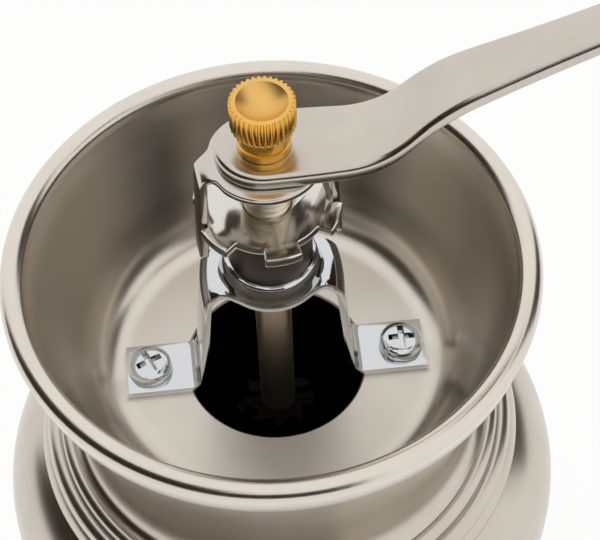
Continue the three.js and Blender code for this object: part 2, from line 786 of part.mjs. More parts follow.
function bearingBar() {
  const half = bar.sheet / 2;
  const endLevel = housingBottom - half;
  const crossLevel = barTop - half;
  const knee = earReach - bar.footLength;
  const side = [[earReach, endLevel], [knee, endLevel], [knee - bar.bendRadius / 2, crossLevel]];
  const path = [...side, ...side.map(([x, z]) => [-x, z]).reverse()];
  const radii = [bar.bendRadius, bar.bendRadius, bar.bendRadius, bar.bendRadius];
  const hole = rod(bar.screwRadius + slidingClearance, endLevel - cutOverrun - half, housingBottom + cutOverrun,
    smallSteps / 2);
  const bushHole = rod(barBushBore + bar.bushWall + slidingClearance, barTop - bar.sheet - cutOverrun,
    barTop + cutOverrun);
  return bent(thickened(rounded(path, radii, 3), bar.sheet), bar.width)
    .subtract(bushHole)
    .subtract(hole.translate([barScrewReach, 0, 0]))
    .subtract(hole.translate([-barScrewReach, 0, 0]))
    .rotate([0, 0, 90]);
}

function bearingBush() {
  const barrel = barBushBore + bar.bushWall;
  const flange = barrel + bar.bushFlangeWidth;
  const top = barTop + bar.bushFlangeHeight;
  return turned([[barBushBore, barBushBottom], [barrel, barBushBottom], [barrel, barTop], [flange, barTop],
    [flange, top], [barBushBore, top]], smallSteps);
}

function barScrew() {
  const seat = housingBottom - bar.sheet;
  const low = seat - bar.screwHeadHeight;
  const end = housingBottom + bar.screwDepth;
  const crown = bar.screwHeadRadius - bar.screwHeadHeight * bar.screwCrownShare;
  return turned([[0, low], [crown, low], [bar.screwHeadRadius, (low + seat) / 2], [bar.screwHeadRadius, seat],
    [bar.screwRadius, seat], [bar.screwRadius, end], [0, end]], smallSteps / 2);
}

// Adjusting wheel: six teeth and six notches round a disc, on a hub that stands on the boss
function adjustingWheel() {
  const discLow = wheelTop - wheel.discHeight;
  const bore = threadRadius + runningClearance;
  const hubLow = bossTop + slidingClearance;
  const pitch = (2 * Math.PI) / wheel.notchCount;
  const notch = Math.asin((lockPlate.legWidth / 2 + wheel.notchSideGap) / legInnerReach);
  const notchRadius = legInnerReach - wheel.notchGap;
  const outline = [];
  for (let i = 0; i < wheel.notchCount; i += 1) {
    for (const side of [-1, 0, 1]) {
      const angle = i * pitch + side * notch;
      outline.push([notchRadius * Math.cos(angle), notchRadius * Math.sin(angle)]);
    }
    for (const share of wheel.toothShares) {
      const angle = i * pitch + notch + share * (pitch - 2 * notch);
      outline.push([wheel.toothRadius * Math.cos(angle), wheel.toothRadius * Math.sin(angle)]);
    }
  }
  return slab(outline, discLow, wheelTop)
    .add(rod(wheel.hubRadius, hubLow, wheelTop, ringSteps))
    .subtract(rod(bore, hubLow - cutOverrun, wheelTop + cutOverrun));
}

function squareHole(low, high) {
  const half = shaft.squareSize / 2 + shaft.squareClearance;
  return block(-half, half, -half, half, low - cutOverrun, high + cutOverrun);
}

// Lock plate: a disc and one strip with both legs bent down
function lockPlateBody() {
  const half = lockPlate.legSheet / 2;
  const reach = lockPlate.legOuterReach - half;
  const level = plateTop - half;
  const tip = wheelTop - lockPlate.legDrop;
  const path = [[reach, tip], [reach, level], [-reach, level], [-reach, tip]];
  const strip = bent(thickened(rounded(path, [lockPlate.bendRadius, lockPlate.bendRadius]), lockPlate.legSheet),
    lockPlate.legWidth);
  const below = block(-lockPlate.discRadius, lockPlate.discRadius, -lockPlate.legWidth, lockPlate.legWidth,
    plateBottom - cutOverrun, plateBottom);
  const round = lockPlate.sheet / 2;
  const disc = turned([[0, plateBottom], [lockPlate.discRadius, plateBottom],
    [lockPlate.discRadius, plateTop - round], [lockPlate.discRadius - round, plateTop], [0, plateTop]]);
  const lead = THREE.MathUtils.radToDeg(-lockAzimuth);
  return strip
    .subtract(below)
    .add(disc)
    .subtract(squareHole(plateBottom, plateTop).rotate([0, 0, lead]));
}

// Drive shaft: lower journal, long plain part, journal in the bridge, thread, square and stud
function driveShaft() {
  const pinHeight = innerBurrTop - innerBurr.pinBelowTop;
  const journalLow = bridgeTop - shaft.journalBelowBridge;
  const shoulder = plateBottom;
  const bottom = barBushBottom - shaft.endBelowBush;
  const threadStart = bossTop + threadPitch;
  const turns = Math.floor((shoulder - threadStart) / threadPitch);
  const profile = [
    [0, bottom],
    [shaft.lowerJournalRadius - shaft.tipChamfer, bottom],
    [shaft.lowerJournalRadius, bottom + shaft.tipChamfer],
    [shaft.lowerJournalRadius, burrNutBottom],
    [shaftRadius, burrNutBottom],
    [shaftRadius, journalLow],
    [threadRadius, journalLow + threadRadius - shaftRadius],
  ];
  for (let i = 0; i <= turns; i += 1) {
    const crest = threadStart + i * threadPitch;
    profile.push([threadRadius, crest]);
    if (i < turns) profile.push([threadRadius - shaft.threadDepth, crest + threadPitch / 2]);
  }
  profile.push([threadRadius, shoulder], [0, shoulder]);
  const half = shaft.squareSize / 2;
  const studTop = armTop + shaft.studHeight;
  const studProfile = [[0, shoulder - cutOverrun], [shaft.studRadius, shoulder - cutOverrun],
    [shaft.studRadius, studTop - shaft.tipChamfer], [shaft.studRadius - shaft.tipChamfer, studTop], [0, studTop]];
  const stud = turned(studProfile, smallSteps);
  const square = block(-half, half, -half, half, shoulder - cutOverrun, armTop - slidingClearance);
  const pinHole = lying(innerBurr.pinRadius + slidingClearance, shaftRadius + cutOverrun);
  return turned(profile, threadSteps)
    .add(square)
    .add(stud)
    .subtract(pinHole.translate([0, 0, pinHeight]));
}

// Crank arm: the side view of the bent strip, cut to the tapered plan
function crankArm() {
  const level = armTop - arm.sheet / 2;
  const path = [
    [-arm.hubOverhang - cutOverrun, level],
    [arm.firstBendReach, level],
    [arm.firstBendReach + arm.firstRun, level + arm.firstRise],
    [crankRadius - arm.eyeBendInset, level + arm.eyeRise],
    [crankRadius + arm.eyeRadius + cutOverrun, level + arm.eyeRise],
  ];
  const radii = [arm.bendRadius, arm.upperBendRadius, arm.eyeBendRadius];
  const strip = thickened(rounded(path, radii), arm.sheet);
  const upper = [];
  const taperSteps = 16;
  const hubSteps = 8;
  for (let i = 0; i < hubSteps; i += 1) {
    const angle = Math.PI - (i / hubSteps) * (Math.PI / 2);
    upper.push([arm.hubOverhang * Math.cos(angle), arm.hubHalfWidth * Math.sin(angle)]);
  }
  const eyeStart = Math.PI - Math.asin(arm.tipHalfWidth / arm.eyeRadius);
  const taperEnd = crankRadius + arm.eyeRadius * Math.cos(eyeStart);
  for (let i = 0; i < taperSteps; i += 1) {
    const share = (1 + Math.cos((Math.PI * i) / taperSteps)) / 2;
    const halfWidth = arm.tipHalfWidth + (arm.hubHalfWidth - arm.tipHalfWidth) * share;
    upper.push([(taperEnd * i) / taperSteps, halfWidth]);
  }
  upper.push(...arc([crankRadius, 0], arm.eyeRadius, THREE.MathUtils.radToDeg(eyeStart), 0, 8));
  const outline = [...upper, ...upper.slice(1, -1).reverse().map(([x, y]) => [x, -y])];
  const tall = slab(outline, level - arm.sheet, level + arm.eyeRise + arm.sheet);
  const eyeHole = rod(knob.pinRadius + slidingClearance, eyeTop - arm.sheet - cutOverrun, eyeTop + cutOverrun)
    .translate([crankRadius, 0, 0]);
  return bent(strip, (arm.hubHalfWidth + cutOverrun) * 2)
    .intersect(tall)
    .subtract(squareHole(plateTop, armTop))
    .subtract(eyeHole);
}

// Brass cap nut: grooved neck, knurled head with a dished top, blind bore
function capNutBody() {
  const low = armTop;
  const headLow = low + capNut.neckHeight;
  const top = headLow + capNut.headHeight;
  const groove = low + capNut.neckHeight * capNut.grooveShare;
  const grooveLow = groove - capNut.grooveHeight / 2;
  const grooveHigh = groove + capNut.grooveHeight / 2;
  const grooveRadius = capNut.neckRadius - capNut.grooveDepth;
  const neckTop = headLow + capNut.edgeRound;
  const neck = turned([[0, low], [capNut.neckRadius, low], [capNut.neckRadius, grooveLow],
    [grooveRadius, grooveLow], [grooveRadius, grooveHigh], [capNut.neckRadius, grooveHigh],
    [capNut.neckRadius, neckTop], [0, neckTop]], ringSteps);
  const level = (radius) => Array.from({ length: capNut.knurlCount * 2 }, (_, i) => {
    const angle = (i * Math.PI) / capNut.knurlCount;
    const reach = radius - (i % 2) * capNut.knurlDepth;
    return [reach * Math.cos(angle), reach * Math.sin(angle)];
  });
  const bevelled = capNut.headRadius - capNut.edgeRound;
  const head = lofted([level(bevelled), level(capNut.headRadius), level(capNut.headRadius), level(bevelled)],
    [headLow, headLow + capNut.edgeRound, top - capNut.edgeRound, top]);
  const dishWall = capNut.dishRadiusShares.map((share, i) =>
    [capNut.dishRadius * share, top - capNut.dishDepth * capNut.dishDepthShares[i]]);
  const dish = turned([[0, top - capNut.dishDepth], ...dishWall, [capNut.dishRadius, top],
    [capNut.dishRadius, top + cutOverrun], [0, top + cutOverrun]], smallSteps);
  const boreTop = top - capNut.dishDepth - capNut.boreRoof;
  return neck.add(head).subtract(dish)
    .subtract(rod(shaft.studRadius + capNut.boreClearance, low - cutOverrun, boreTop));
}

// Knob: turned pear with a bore, a recess for the pin's head and a steel ferrule at its foot
const knobFoot = eyeTop + knob.washerHeight + runningClearance;
const knobTop = knobFoot + knob.height;
const pinBore = knob.pinRadius + knob.pinClearance;

function knobBody() {
  const [lowShare, highShare] = knob.flankHeightShares;
  const bulge = knobFoot + knob.height * knob.bulgeHeightShare;
  const recess = knob.pinHeadRadius + knob.recessClearance;
  const foot = knob.footShares.map(([height, radius]) =>
    [knob.baseRadius * radius, knobFoot + knob.height * height]);
  const flank = new THREE.CubicBezierCurve(
    new THREE.Vector2(...foot.at(-1)),
    new THREE.Vector2(knob.waistRadius, knobFoot + knob.height * lowShare),
    new THREE.Vector2(knob.bulgeRadius, knobFoot + knob.height * highShare),
    new THREE.Vector2(knob.bulgeRadius, bulge),
  ).getPoints(6).slice(1);
  const crown = new THREE.CubicBezierCurve(
    new THREE.Vector2(knob.bulgeRadius, bulge),
    new THREE.Vector2(knob.bulgeRadius, knobFoot + knob.height * knob.crownHeightShare),
    new THREE.Vector2(knob.bulgeRadius * knob.crownRadiusShare, knobTop),
    new THREE.Vector2(recess, knobTop),
  ).getPoints(7).slice(1);
  const profile = [
    [pinBore, knobFoot],
    ...foot,
    ...[...flank, ...crown].map((point) => point.toArray()),
    [recess, knobTop - knob.recessDepth],
    [pinBore, knobTop - knob.recessDepth],
  ];
  const ferruleSeat = ring(knob.baseRadius - knob.ferruleWall - slidingClearance, knob.baseRadius + cutOverrun,
    knobFoot - cutOverrun, knobFoot + knob.ferruleHeight + slidingClearance);
  return turned(profile).subtract(ferruleSeat);
}

function knobFerrule() {
  return ring(knob.baseRadius - knob.ferruleWall, knob.baseRadius, knobFoot, knobFoot + knob.ferruleHeight);
}

function knobPin() {
  const rivetTop = eyeTop - arm.sheet;
  const rivetLow = rivetTop - knob.rivetHeight;
  const headLow = knobTop - knob.recessDepth + runningClearance;
  const headHigh = headLow + knob.pinHeadHeight;
  const rivetCrown = rivetTop - knob.rivetHeight * knob.rivetCrownShare;
  return turned([[0, rivetLow], [knob.rivetRadius / 2, rivetLow], [knob.rivetRadius, rivetCrown],
    [knob.rivetRadius, rivetTop], [knob.pinRadius, rivetTop], [knob.pinRadius, headLow],
    [knob.pinHeadRadius, headLow], [knob.pinHeadRadius, (headLow + headHigh) / 2],
    [knob.pinHeadRadius / 2, headHigh], [0, headHigh]], smallSteps);
}

function knobWasher() {
  const bore = knob.pinRadius + slidingClearance;
  return ring(bore, knob.washerRadius, eyeTop, eyeTop + knob.washerHeight, smallSteps);
}

// The grinder: a group for each set of pieces that moves together
function addPart(group, name, solid, material, place = [0, 0, 0]) {
  const mesh = new THREE.Mesh(toGeometry(solid), material);
  mesh.name = name;
  mesh.position.set(...place);
  group.add(mesh);
}

const grinder = new THREE.Group();
const cupGroup = new THREE.Group();
const upperGroup = new THREE.Group();
const wheelGroup = new THREE.Group();
const lockGroup = new THREE.Group();
const shaftGroup = new THREE.Group();
const crankGroup = new THREE.Group();
const knobGroup = new THREE.Group();
wheelGroup.rotation.z = lockAzimuth;
lockGroup.rotation.z = lockAzimuth;
knobGroup.position.set(crankRadius, 0, 0);
crankGroup.add(knobGroup);
grinder.add(cupGroup, upperGroup, wheelGroup, shaftGroup, lockGroup, crankGroup);

addPart(cupGroup, "grounds_cup", groundsCup(), satinSteel);

addPart(upperGroup, "upper_shell", upperShell(), satinSteel);
addPart(upperGroup, "cup_collar", collarRing(), plastic);
addPart(upperGroup, "cup_seal", sealTorus(0, bodySteps), rubber);
addPart(upperGroup, "hopper_bowl", hopperBowl(), satinSteel);
addPart(upperGroup, "bridge_bracket", bridgeBracket(), plate);
addPart(upperGroup, "bridge_bush", bridgeBush(), bronze);
for (const [side, sign] of [["left", -1], ["right", 1]]) {
  addPart(upperGroup, `bridge_screw_${side}`, bridgeScrewBody(), plate, [sign * screwReach, 0, 0]);
  addPart(upperGroup, `bridge_nut_${side}`, bridgeNut(), plate, [sign * screwReach, 0, 0]);
}
addPart(upperGroup, "burr_housing", burrHousing(), castMetal);
addPart(upperGroup, "ring_burr", ringBurrBody(), burrSteel);
addPart(upperGroup, "burr_retaining_ring", retainingRing(), turnedSteel);
addPart(upperGroup, "bearing_bar", bearingBar(), plate);
addPart(upperGroup, "bearing_bush", bearingBush(), bronze);
for (const [side, sign] of [["front", -1], ["back", 1]]) {
  addPart(upperGroup, `bar_screw_${side}`, barScrew(), plate, [0, sign * barScrewReach, 0]);
}

addPart(wheelGroup, "adjusting_wheel", adjustingWheel(), plate);

addPart(shaftGroup, "drive_shaft", driveShaft(), turnedSteel);
addPart(shaftGroup, "inner_burr", innerBurrBody(), burrSteel);
addPart(shaftGroup, "burr_drive_pin", drivePin(), turnedSteel);
addPart(shaftGroup, "burr_washer", burrWasher(), plate);
addPart(shaftGroup, "burr_nut", burrNut(), plate);

addPart(lockGroup, "lock_plate", lockPlateBody(), plate);
addPart(crankGroup, "crank_arm", crankArm(), satinSteel);
addPart(crankGroup, "cap_nut", capNutBody(), brass);
addPart(knobGroup, "knob_pin", knobPin(), turnedSteel);
addPart(knobGroup, "knob_washer", knobWasher(), plate);
addPart(knobGroup, "crank_knob", knobBody(), wood);
addPart(knobGroup, "knob_ferrule", knobFerrule(), turnedSteel);

export default grinder;
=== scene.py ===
"""A manual coffee grinder, dressed for the picture: satin and plated steel, a brass nut, a varnished knob.

Shapes are given in millimetres, with the shaft on the Z axis and the worktop at z = 0.
"""
import math

import bmesh
import bpy
from mathutils import Matrix, Vector


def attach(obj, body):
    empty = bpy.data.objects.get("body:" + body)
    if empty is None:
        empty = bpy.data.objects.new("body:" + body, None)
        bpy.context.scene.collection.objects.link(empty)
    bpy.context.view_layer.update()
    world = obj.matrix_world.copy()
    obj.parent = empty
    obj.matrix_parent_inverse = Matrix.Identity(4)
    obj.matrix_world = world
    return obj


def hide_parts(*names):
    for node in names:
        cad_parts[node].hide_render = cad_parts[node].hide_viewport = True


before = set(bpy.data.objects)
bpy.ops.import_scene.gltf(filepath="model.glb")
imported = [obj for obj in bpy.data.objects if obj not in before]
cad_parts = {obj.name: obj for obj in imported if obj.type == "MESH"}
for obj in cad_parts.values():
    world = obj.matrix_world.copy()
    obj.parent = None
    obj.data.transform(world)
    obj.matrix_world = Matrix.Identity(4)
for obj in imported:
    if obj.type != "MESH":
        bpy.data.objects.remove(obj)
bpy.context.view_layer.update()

MM = 0.001
# Edges that turn by more than this stay sharp in the shading
SHARP = math.radians(28)
# Faces round a turned piece, unless it says otherwise
TURN_STEPS = 160
# A point nearer the axis than this is on it
ON_AXIS = 1e-6


# Meshes

def collection_object(name, mesh):
    obj = bpy.data.objects.new(name, mesh)
    bpy.context.scene.collection.objects.link(obj)
    return obj


def shaded(bm):
    """Smooth faces, with the edges that turn by more than SHARP left sharp."""
    for face in bm.faces:
        face.smooth = True
    for edge in bm.edges:
        edge.smooth = len(edge.link_faces) == 2 and edge.calc_face_angle(math.pi) < SHARP


def from_bmesh(name, bm):
    """Object of a bmesh given in millimetres."""
    bmesh.ops.remove_doubles(bm, verts=bm.verts, dist=1e-4)
    bmesh.ops.recalc_face_normals(bm, faces=bm.faces)
    bmesh.ops.scale(bm, vec=(MM, MM, MM), verts=bm.verts)
    shaded(bm)
    mesh = bpy.data.meshes.new(name)
    bm.to_mesh(mesh)
    bm.free()
    return collection_object(name, mesh)


def arc(centre, radius, start, end, steps=10):
    """Points of an arc, its angles in degrees."""
    angles = [math.radians(start + (end - start) * i / steps) for i in range(steps + 1)]
    return [(centre[0] + radius * math.cos(a), centre[1] + radius * math.sin(a)) for a in angles]


def bezier(points, steps):
    """Points of a Bezier curve of any order."""
    result = []
    for i in range(steps + 1):
        t = i / steps
        level = [Vector(p) for p in points]
        while len(level) > 1:
            level = [a.lerp(b, t) for a, b in zip(level, level[1:])]
        result.append(tuple(level[0]))
    return result


# Half angles between which a corner is rounded, and the share of a side that its round may take
SHARPEST, FLATTEST = math.radians(1), math.radians(88)
SIDE_SHARE = 0.49


def eased(points, radii, steps=6, closed=True):
    """A polygon or path with each corner rounded to its radius, or as far as its sides allow."""
    points = [Vector(p) for p in points]
    count = len(points)
    if not hasattr(radii, "__len__"):
        radii = [radii] * count
    result = []
    for i, corner in enumerate(points):
        if (not closed and i in (0, count - 1)) or radii[i] <= 0:
            result.append(tuple(corner))
            continue
        back = points[i - 1] - corner
        ahead = points[(i + 1) % count] - corner
        half = back.angle(ahead) / 2
        if half > FLATTEST or half < SHARPEST:
            result.append(tuple(corner))
            continue
        reach = min(radii[i] / math.tan(half), back.length * SIDE_SHARE, ahead.length * SIDE_SHARE)
        radius = reach * math.tan(half)
        back, ahead = back.normalized(), ahead.normalized()
        middle = corner + (back + ahead).normalized() * radius / math.sin(half)
        start = corner + back * reach - middle
        end = corner + ahead * reach - middle
        turn = math.atan2(start.x * end.y - start.y * end.x, start.dot(end))
        for n in range(steps + 1):
            spin = Matrix.Rotation(turn * n / steps, 2)
            result.append(tuple(middle + spin @ start))
    return result


def drawn_in(profile, sheet):
    """The same profile, drawn in by a sheet's thickness along its own normal."""
    result = []
    for i, point in enumerate(profile):
        before = Vector(profile[max(i - 1, 0)])
        after = Vector(profile[min(i + 1, len(profile) - 1)])
        along = (after - before).normalized()
        result.append((point[0] - along.y * sheet, point[1] + along.x * sheet))
    return result


def band_of(rows, bm, closed=True):
    """Faces between each row of points and the next, all rows of one length."""
    for below, above in zip(rows, rows[1:]):
        for i in range(len(below) if closed else len(below) - 1):
            j = (i + 1) % len(below)
            bm.faces.new((below[i], below[j], above[j], above[i]))


def turned(name, profile, steps=TURN_STEPS):
    """Revolves a closed outline of (radius, height) points about Z."""
    bm = bmesh.new()
    rings = []
    for radius, height in profile:
        if radius < ON_AXIS:
            rings.append([bm.verts.new((0, 0, height))] * steps)
            continue
        ring = []
        for i in range(steps):
            angle = math.radians(360 * i / steps)
            ring.append(bm.verts.new((radius * math.cos(angle), radius * math.sin(angle), height)))
        rings.append(ring)
    for below, above in zip(rings, rings[1:] + rings[:1]):
        for i in range(steps):
            j = (i + 1) % steps
            corners = []
            for vert in (below[i], below[j], above[j], above[i]):
                if vert not in corners:
                    corners.append(vert)
            if len(corners) > 2:
                bm.faces.new(corners)
    return from_bmesh(name, bm)


def extruded(name, outline, low, high, lay=None):
    """A prism of an outline, upright, or laid by a matrix."""
    bm = bmesh.new()
    bottom = [bm.verts.new((x, y, low)) for x, y in outline]
    top = [bm.verts.new((x, y, high)) for x, y in outline]
    bm.faces.new(bottom)
    bm.faces.new(top)
    band_of([bottom, top], bm)
    if lay:
        bmesh.ops.transform(bm, matrix=lay, verts=bm.verts)
    return from_bmesh(name, bm)


def apply(obj):
    """Turns what the object's modifiers make into its own mesh."""
    depsgraph = bpy.context.evaluated_depsgraph_get()
    made = bpy.data.meshes.new_from_object(obj.evaluated_get(depsgraph))
    obj.modifiers.clear()
    obj.data = made
    return obj


def cut(obj, other, operation="DIFFERENCE"):
    """Boolean of two objects; the other one is used up."""
    modifier = obj.modifiers.new("cut", "BOOLEAN")
    modifier.operation = operation
    modifier.solver = "EXACT"
    modifier.object = other
    apply(obj)
    bpy.data.objects.remove(other)
    return obj


def resharpened(obj):
    bm = bmesh.new()
    bm.from_mesh(obj.data)
    shaded(bm)
    bm.to_mesh(obj.data)
    bm.free()
    return obj


# Edges that turn by more than this are rounded, in this many steps
EDGE_ANGLE, EDGE_SEGMENTS = math.radians(40), 3
# Faces that turn by less than this against each other are made one before the rounding
FLAT_ANGLE = math.radians(0.5)


def softened(obj, width):
    """Rounds the sharper edges of an object."""
    bm = bmesh.new()
    bm.from_mesh(obj.data)
    bmesh.ops.remove_doubles(bm, verts=bm.verts, dist=2e-6)
    bmesh.ops.dissolve_limit(bm, angle_limit=FLAT_ANGLE, verts=bm.verts, edges=bm.edges)
    bm.to_mesh(obj.data)
    bm.free()
    modifier = obj.modifiers.new("edge", "BEVEL")
    modifier.width = width * MM
    modifier.segments = EDGE_SEGMENTS
    modifier.limit_method = "ANGLE"
    modifier.angle_limit = EDGE_ANGLE
    modifier.harden_normals = False
    apply(obj)
    return resharpened(obj)


def sliced(obj, axis, places):
    """Cuts a mesh by planes square to an axis, so that it can be bent there."""
    bm = bmesh.new()
    bm.from_mesh(obj.data)
    for place in places:
        at, way = Vector((0, 0, 0)), Vector((0, 0, 0))
        at[axis], way[axis] = place * MM, 1
        everything = bm.verts[:] + bm.edges[:] + bm.faces[:]
        bmesh.ops.bisect_plane(bm, geom=everything, dist=1e-7, plane_co=at, plane_no=way)
    bm.to_mesh(obj.data)
    bm.free()
    return obj


def bent(obj, rule):
    """Moves each point of a mesh by a rule in millimetres."""
    for vert in obj.data.vertices:
        vert.co = rule(vert.co / MM) * MM
    obj.data.update()
    return resharpened(obj)


def placed(obj, shift=(0, 0, 0), turn=0.0):
    """Moves a piece's mesh: a turn about Z in degrees, then a shift in millimetres."""
    spot = Matrix.Translation(Vector(shift) * MM) @ Matrix.Rotation(math.radians(turn), 4, "Z")
    obj.data.transform(spot)
    obj.data.update()
    return obj


def finished(obj, material, body, *nodes, slot=None):
    """Gives a piece its material, its body and the nodes that it stands for."""
    obj.data.materials.clear()
    obj.data.materials.append(material)
    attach(obj, body)
    if nodes:
        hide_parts(*nodes)
    return obj


def second_finish(obj, material, within, above=-math.inf, below=math.inf):
    """Gives another material to the faces within a radius and between two heights, in millimetres."""
    obj.data.materials.append(material)
    for face in obj.data.polygons:
        x, y, z = face.center
        if math.hypot(x, y) < within * MM and above * MM < z < below * MM:
            face.material_index = 1


# Node trees

def wired(tree, made, **links):
    """Sets a node's inputs by name or number: a socket is linked, and any other value is set."""
    for key, value in links.items():
        socket = made.inputs[int(key[2:]) if key.startswith("in") else key.replace("_", " ")]
        if isinstance(value, bpy.types.NodeSocket):
            tree.links.new(value, socket)
        else:
            socket.default_value = value
    return made


def node(tree, kind, settings=None, **links):
    """Adds a node with its settings and inputs."""
    made = tree.nodes.new(kind)
    for key, value in (settings or {}).items():
        setattr(made, key, value)
    return wired(tree, made, **links)


def linear(hex_colour):
    """Linear colour of an sRGB hex value."""
    parts = [int(hex_colour[i:i + 2], 16) / 255 for i in (1, 3, 5)]
    return tuple(c / 12.92 if c <= 0.04045 else ((c + 0.055) / 1.055) ** 2.4 for c in parts) + (1.0,)


def new_material(name):
    material = bpy.data.materials.new(name)
    material.use_nodes = True
    tree = material.node_tree
    shader = tree.nodes["Principled BSDF"]
    return material, tree, shader


def turned_round(tree, lines_mm):
    """Fine rings about the shaft's axis: rings on a flat face, rings up a wall."""
    place = node(tree, "ShaderNodeTexCoord").outputs["Object"]
    parts = node(tree, "ShaderNodeSeparateXYZ", Vector=place)
    flat = node(tree, "ShaderNodeCombineXYZ", X=parts.outputs["X"], Y=parts.outputs["Y"])
    reach = node(tree, "ShaderNodeVectorMath", {"operation": "LENGTH"}, in0=flat.outputs[0])
    lines = node(tree, "ShaderNodeCombineXYZ", X=reach.outputs["Value"], Y=parts.outputs["Z"])
    return node(tree, "ShaderNodeTexNoise", {"noise_dimensions": "3D"}, Vector=lines.outputs[0],
                Scale=1 / (lines_mm * MM), Detail=2.0, Roughness=0.6)


# Satin steel and brass, in millimetres: the rings that spinning leaves, drawn about twice as coarse as they
# are so that they show, the grain that tumbling leaves, and the clouds of finger wear
RING_MM, GRAIN_MM, CLOUD_MM = 0.25, 0.5, 9
# How far the clouds go to the second colour, how much the rings vary the gloss, and how much of them is felt
CLOUD_SHARE, RING_GLOSS, RING_BUMP = 0.35, 0.06, 0.25
# What a rubbed floor adds to the roughness, and the half width in which such a zone fades out
RUBBED, ZONE_FADE = 0.16, 3


def spun_steel(name, colour, tint, roughness, rings=0.003, spun=True, matt_in=0.0, painted_shade_band=None):
    """Satin metal, spun or tumbled: soft reflections over very fine rings, or over a fine grain.

    Within the radius matt_in it is rubbed more matt, as a floor that the beans slide over. Between the two
    heights of the shade band it is painted darker, by the band's third value: painted shade on a wall.
    """
    material, tree, shader = new_material(name)
    place = node(tree, "ShaderNodeTexCoord").outputs["Object"]
    if spun:
        fine = turned_round(tree, RING_MM)
    else:
        fine = node(tree, "ShaderNodeTexNoise", Vector=place, Scale=1 / (GRAIN_MM * MM), Detail=3.0,
                    Roughness=0.6)
    cloudy = node(tree, "ShaderNodeTexNoise", Vector=place, Scale=1 / (CLOUD_MM * MM), Detail=3.0,
                  Roughness=0.55)
    share = node(tree, "ShaderNodeMapRange", Value=cloudy.outputs[0], From_Min=0.35, From_Max=0.75,
                 To_Min=0.0, To_Max=CLOUD_SHARE)
    tone = node(tree, "ShaderNodeMix", {"data_type": "RGBA"}, in0=share.outputs[0], in6=linear(colour),
                in7=linear(tint))
    colours = tone.outputs[2]
    # Painted shade: the colour is darkened in a band of heights
    if painted_shade_band:
        low, high, depth = painted_shade_band
        height = node(tree, "ShaderNodeSeparateXYZ", Vector=place).outputs["Z"]
        ends = []
        for middle, at_low, at_high in ((low, 0.0, 1.0), (high, 1.0, 0.0)):
            ends.append(node(tree, "ShaderNodeMapRange", {"interpolation_type": "SMOOTHSTEP"}, Value=height,
                             From_Min=(middle - ZONE_FADE) * MM, From_Max=(middle + ZONE_FADE) * MM,
                             To_Min=at_low, To_Max=at_high).outputs[0])
        zone = node(tree, "ShaderNodeMath", {"operation": "MULTIPLY"}, in0=ends[0], in1=ends[1])
        darker = node(tree, "ShaderNodeMapRange", Value=zone.outputs[0], To_Min=1.0, To_Max=1.0 - depth)
        colours = node(tree, "ShaderNodeVectorMath", {"operation": "SCALE"}, in0=colours,
                       Scale=darker.outputs[0]).outputs[0]
    rough = node(tree, "ShaderNodeMapRange", Value=fine.outputs[0], To_Min=roughness - RING_GLOSS / 2,
                 To_Max=roughness + RING_GLOSS / 2).outputs[0]
    if matt_in:
        around = node(tree, "ShaderNodeVectorMath", {"operation": "MULTIPLY"}, in0=place, in1=(1.0, 1.0, 0.0))
        away = node(tree, "ShaderNodeVectorMath", {"operation": "LENGTH"}, in0=around.outputs[0])
        rubbed = node(tree, "ShaderNodeMapRange", Value=away.outputs["Value"],
                      From_Min=(matt_in - ZONE_FADE) * MM, From_Max=(matt_in + ZONE_FADE) * MM, To_Min=RUBBED,
                      To_Max=0.0)
        both = node(tree, "ShaderNodeMath", {"operation": "ADD"}, in0=rough, in1=rubbed.outputs[0])
        rough = both.outputs[0]
    bump = node(tree, "ShaderNodeBump", Strength=RING_BUMP, Distance=rings * MM, Height=fine.outputs[0])
    wired(tree, shader, Base_Color=colours, Roughness=rough, Normal=bump.outputs[0], Metallic=1.0)
    return material


# Plated steel, in millimetres: the slow ripples that the press leaves, how deep they are, and the small marks
RIPPLE_MM, RIPPLE_DEPTH, MARK_MM = 5, 0.02, 0.7
# How far the marks go to the stain's colour, and the gloss in and out of them
MARK_SHARE, MARK_GLOSS = 0.2, (0.85, 1.2)


def pressed_plate(name, colour, roughness, stain="#6d6558"):
    """Nickel plate over pressed steel: mirror bright, with slow ripples from the press and faint marks."""
    material, tree, shader = new_material(name)
    place = node(tree, "ShaderNodeTexCoord").outputs["Object"]
    slow = node(tree, "ShaderNodeTexNoise", Vector=place, Scale=1 / (RIPPLE_MM * MM), Detail=2.0,
                Roughness=0.5)
    marks = node(tree, "ShaderNodeTexNoise", Vector=place, Scale=1 / (MARK_MM * MM), Detail=4.0,
                 Roughness=0.65)
    share = node(tree, "ShaderNodeMapRange", Value=marks.outputs[0], From_Min=0.56, From_Max=0.8, To_Min=0.0,
                 To_Max=MARK_SHARE)
    tone = node(tree, "ShaderNodeMix", {"data_type": "RGBA"}, in0=share.outputs[0], in6=linear(colour),
                in7=linear(stain))
    sheen = node(tree, "ShaderNodeMapRange", Value=marks.outputs[0], To_Min=roughness * MARK_GLOSS[0],
                 To_Max=roughness * MARK_GLOSS[1])
    bump = node(tree, "ShaderNodeBump", Strength=0.5, Distance=RIPPLE_DEPTH * MM, Height=slow.outputs[0])
    wired(tree, shader, Base_Color=tone.outputs[2], Roughness=sheen.outputs[0], Normal=bump.outputs[0],
          Metallic=1.0)
    return material


# Width of the wood's grain in millimetres, and how far it is drawn out along the knob
WOOD_GRAIN_MM, GRAIN_DRAWN = 1.6, 0.08


